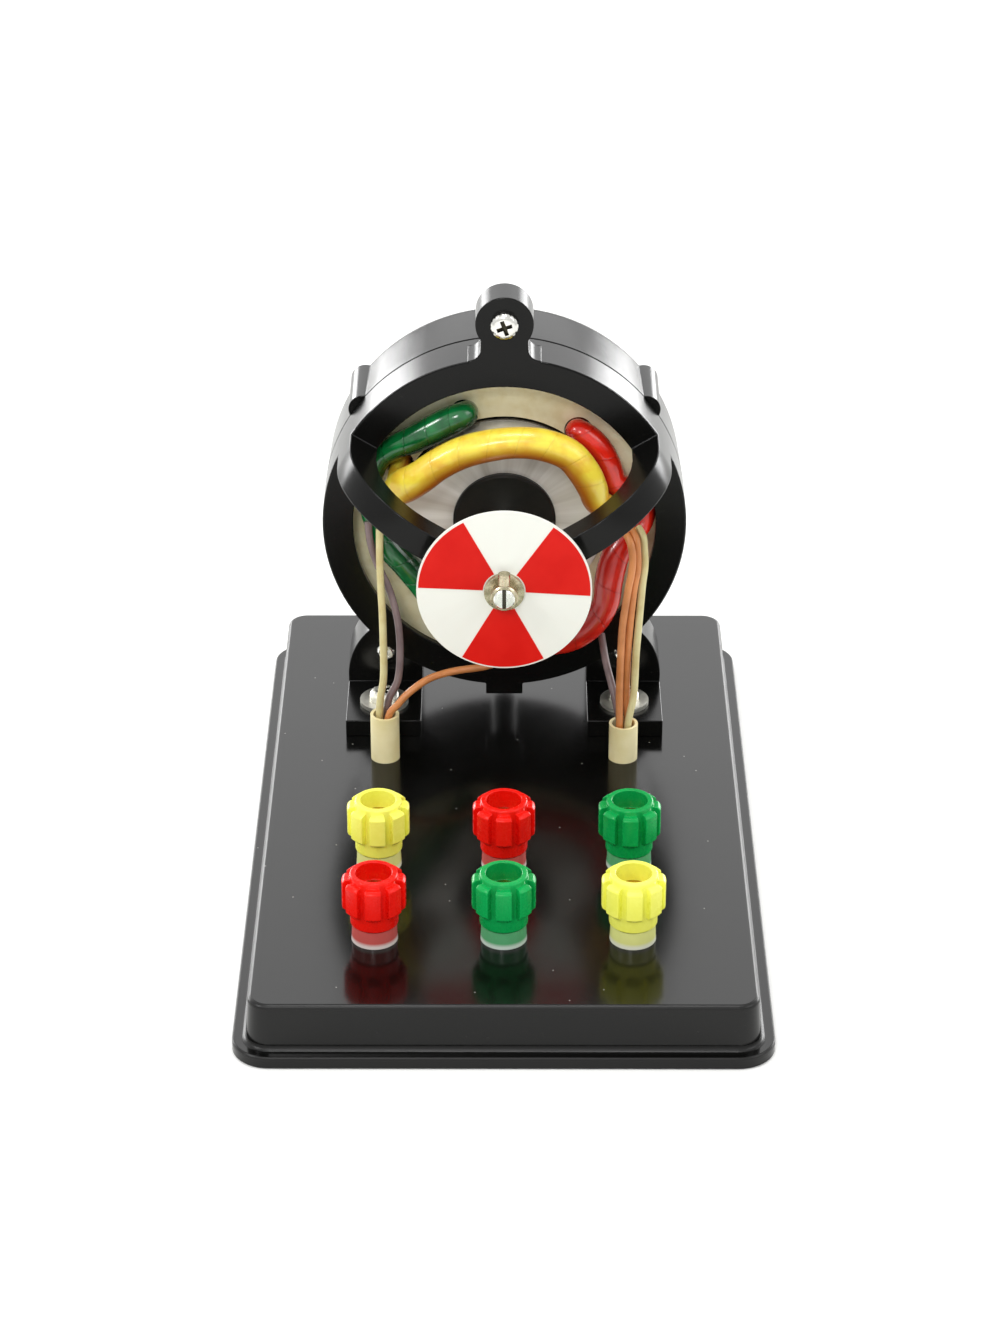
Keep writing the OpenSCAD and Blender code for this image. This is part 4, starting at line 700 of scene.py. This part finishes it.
# plain pale floor; past the lamps' reach it glows white to the camera, as a backdrop does
studio = {"floor": "#fdfdfb", "floorSize": 12, "ambient": 0.6, "litReach": 0.5}
white = (1.0, 1.0, 1.0, 1.0)
bpy.ops.object.select_all(action="DESELECT")
bpy.ops.mesh.primitive_plane_add(size=studio["floorSize"], location=(0, 0, 0))
floor = bpy.context.view_layer.objects.active
floor.name = "studioFloor"
floorMaterial, tree, shader, place = newMaterial("paleFloor")
distance = addNode(tree, "ShaderNodeVectorMath", {"operation": "LENGTH"}, {0: (place, "Object")})
beyond = addRange(tree, (distance, "Value"), 0.0, 1.0,
    fromLow=studio["litReach"], fromHigh=2.5 * studio["litReach"])
rays = addNode(tree, "ShaderNodeLightPath")
glow = addMath(tree, "MULTIPLY", {}, {0: (beyond, "Result"), 1: (rays, "Is Camera Ray")})
setSockets(shader, {"Base Color": hexColour(studio["floor"]), "Roughness": 0.9, "Specular IOR Level": 0.0,
    "Emission Color": white})
tree.links.new(glow.outputs["Value"], shader.inputs["Emission Strength"])
floor.data.materials.append(floorMaterial)

# a world that the camera, gloss and clear plastic see as white and that lights the rest less
world = bpy.data.worlds.new("studioWorld")
world.use_nodes = True
bpy.context.scene.world = world
tree = world.node_tree
tree.nodes.clear()
rays = addNode(tree, "ShaderNodeLightPath")
seenOrGloss = addMath(tree, "MAXIMUM", {}, {0: (rays, "Is Camera Ray"), 1: (rays, "Is Glossy Ray")})
seen = addMath(tree, "MAXIMUM", {}, {0: (seenOrGloss, "Value"), 1: (rays, "Is Transmission Ray")})
level = addRange(tree, (seen, "Value"), low=studio["ambient"], high=1.0)
sky = addNode(tree, "ShaderNodeBackground", {"Color": white}, {"Strength": (level, "Result")})
addNode(tree, "ShaderNodeOutputWorld", {}, {"Surface": (sky, "Background")})

lamps = {
    "keyFront": {"place": (-0.18, -0.95, 0.85), "size": (0.2, 0.2), "watts": 3.3},
    "keyLeft": {"place": (-0.7, -0.35, 0.8), "size": (0.2, 0.2), "watts": 2.6},
    "fillRight": {"place": (0.75, -0.3, 0.7), "size": (0.5, 0.5), "watts": 1.8},
    "topSoft": {"place": (0.0, -0.05, 1.1), "size": (0.25, 0.25), "watts": 2.4},
    "backSoft": {"place": (0.0, 1.35, 0.78), "size": (2.4, 0.8), "watts": 8.0},
    "backLeft": {"place": (-1.1, 1.3, 0.3), "size": (1.1, 0.55), "watts": 21.0},
    "backRight": {"place": (1.1, 1.3, 0.3), "size": (1.1, 0.55), "watts": 21.0},
}
lampAim = Vector((0, 0, 0.05))
for lampName, lamp in lamps.items():
    light = bpy.data.lights.new(lampName, "AREA")
    light.shape = "RECTANGLE"
    light.size, light.size_y = lamp["size"]
    light.energy = lamp["watts"]
    holder = bpy.data.objects.new(lampName, light)
    bpy.context.scene.collection.objects.link(holder)
    holder.visible_camera = False
    holder.location = lamp["place"]
    holder.rotation_euler = (lampAim - Vector(lamp["place"])).to_track_quat("-Z", "Y").to_euler()
bpy.context.scene.view_settings.view_transform = "Standard"
print("camera, floor and lights set")
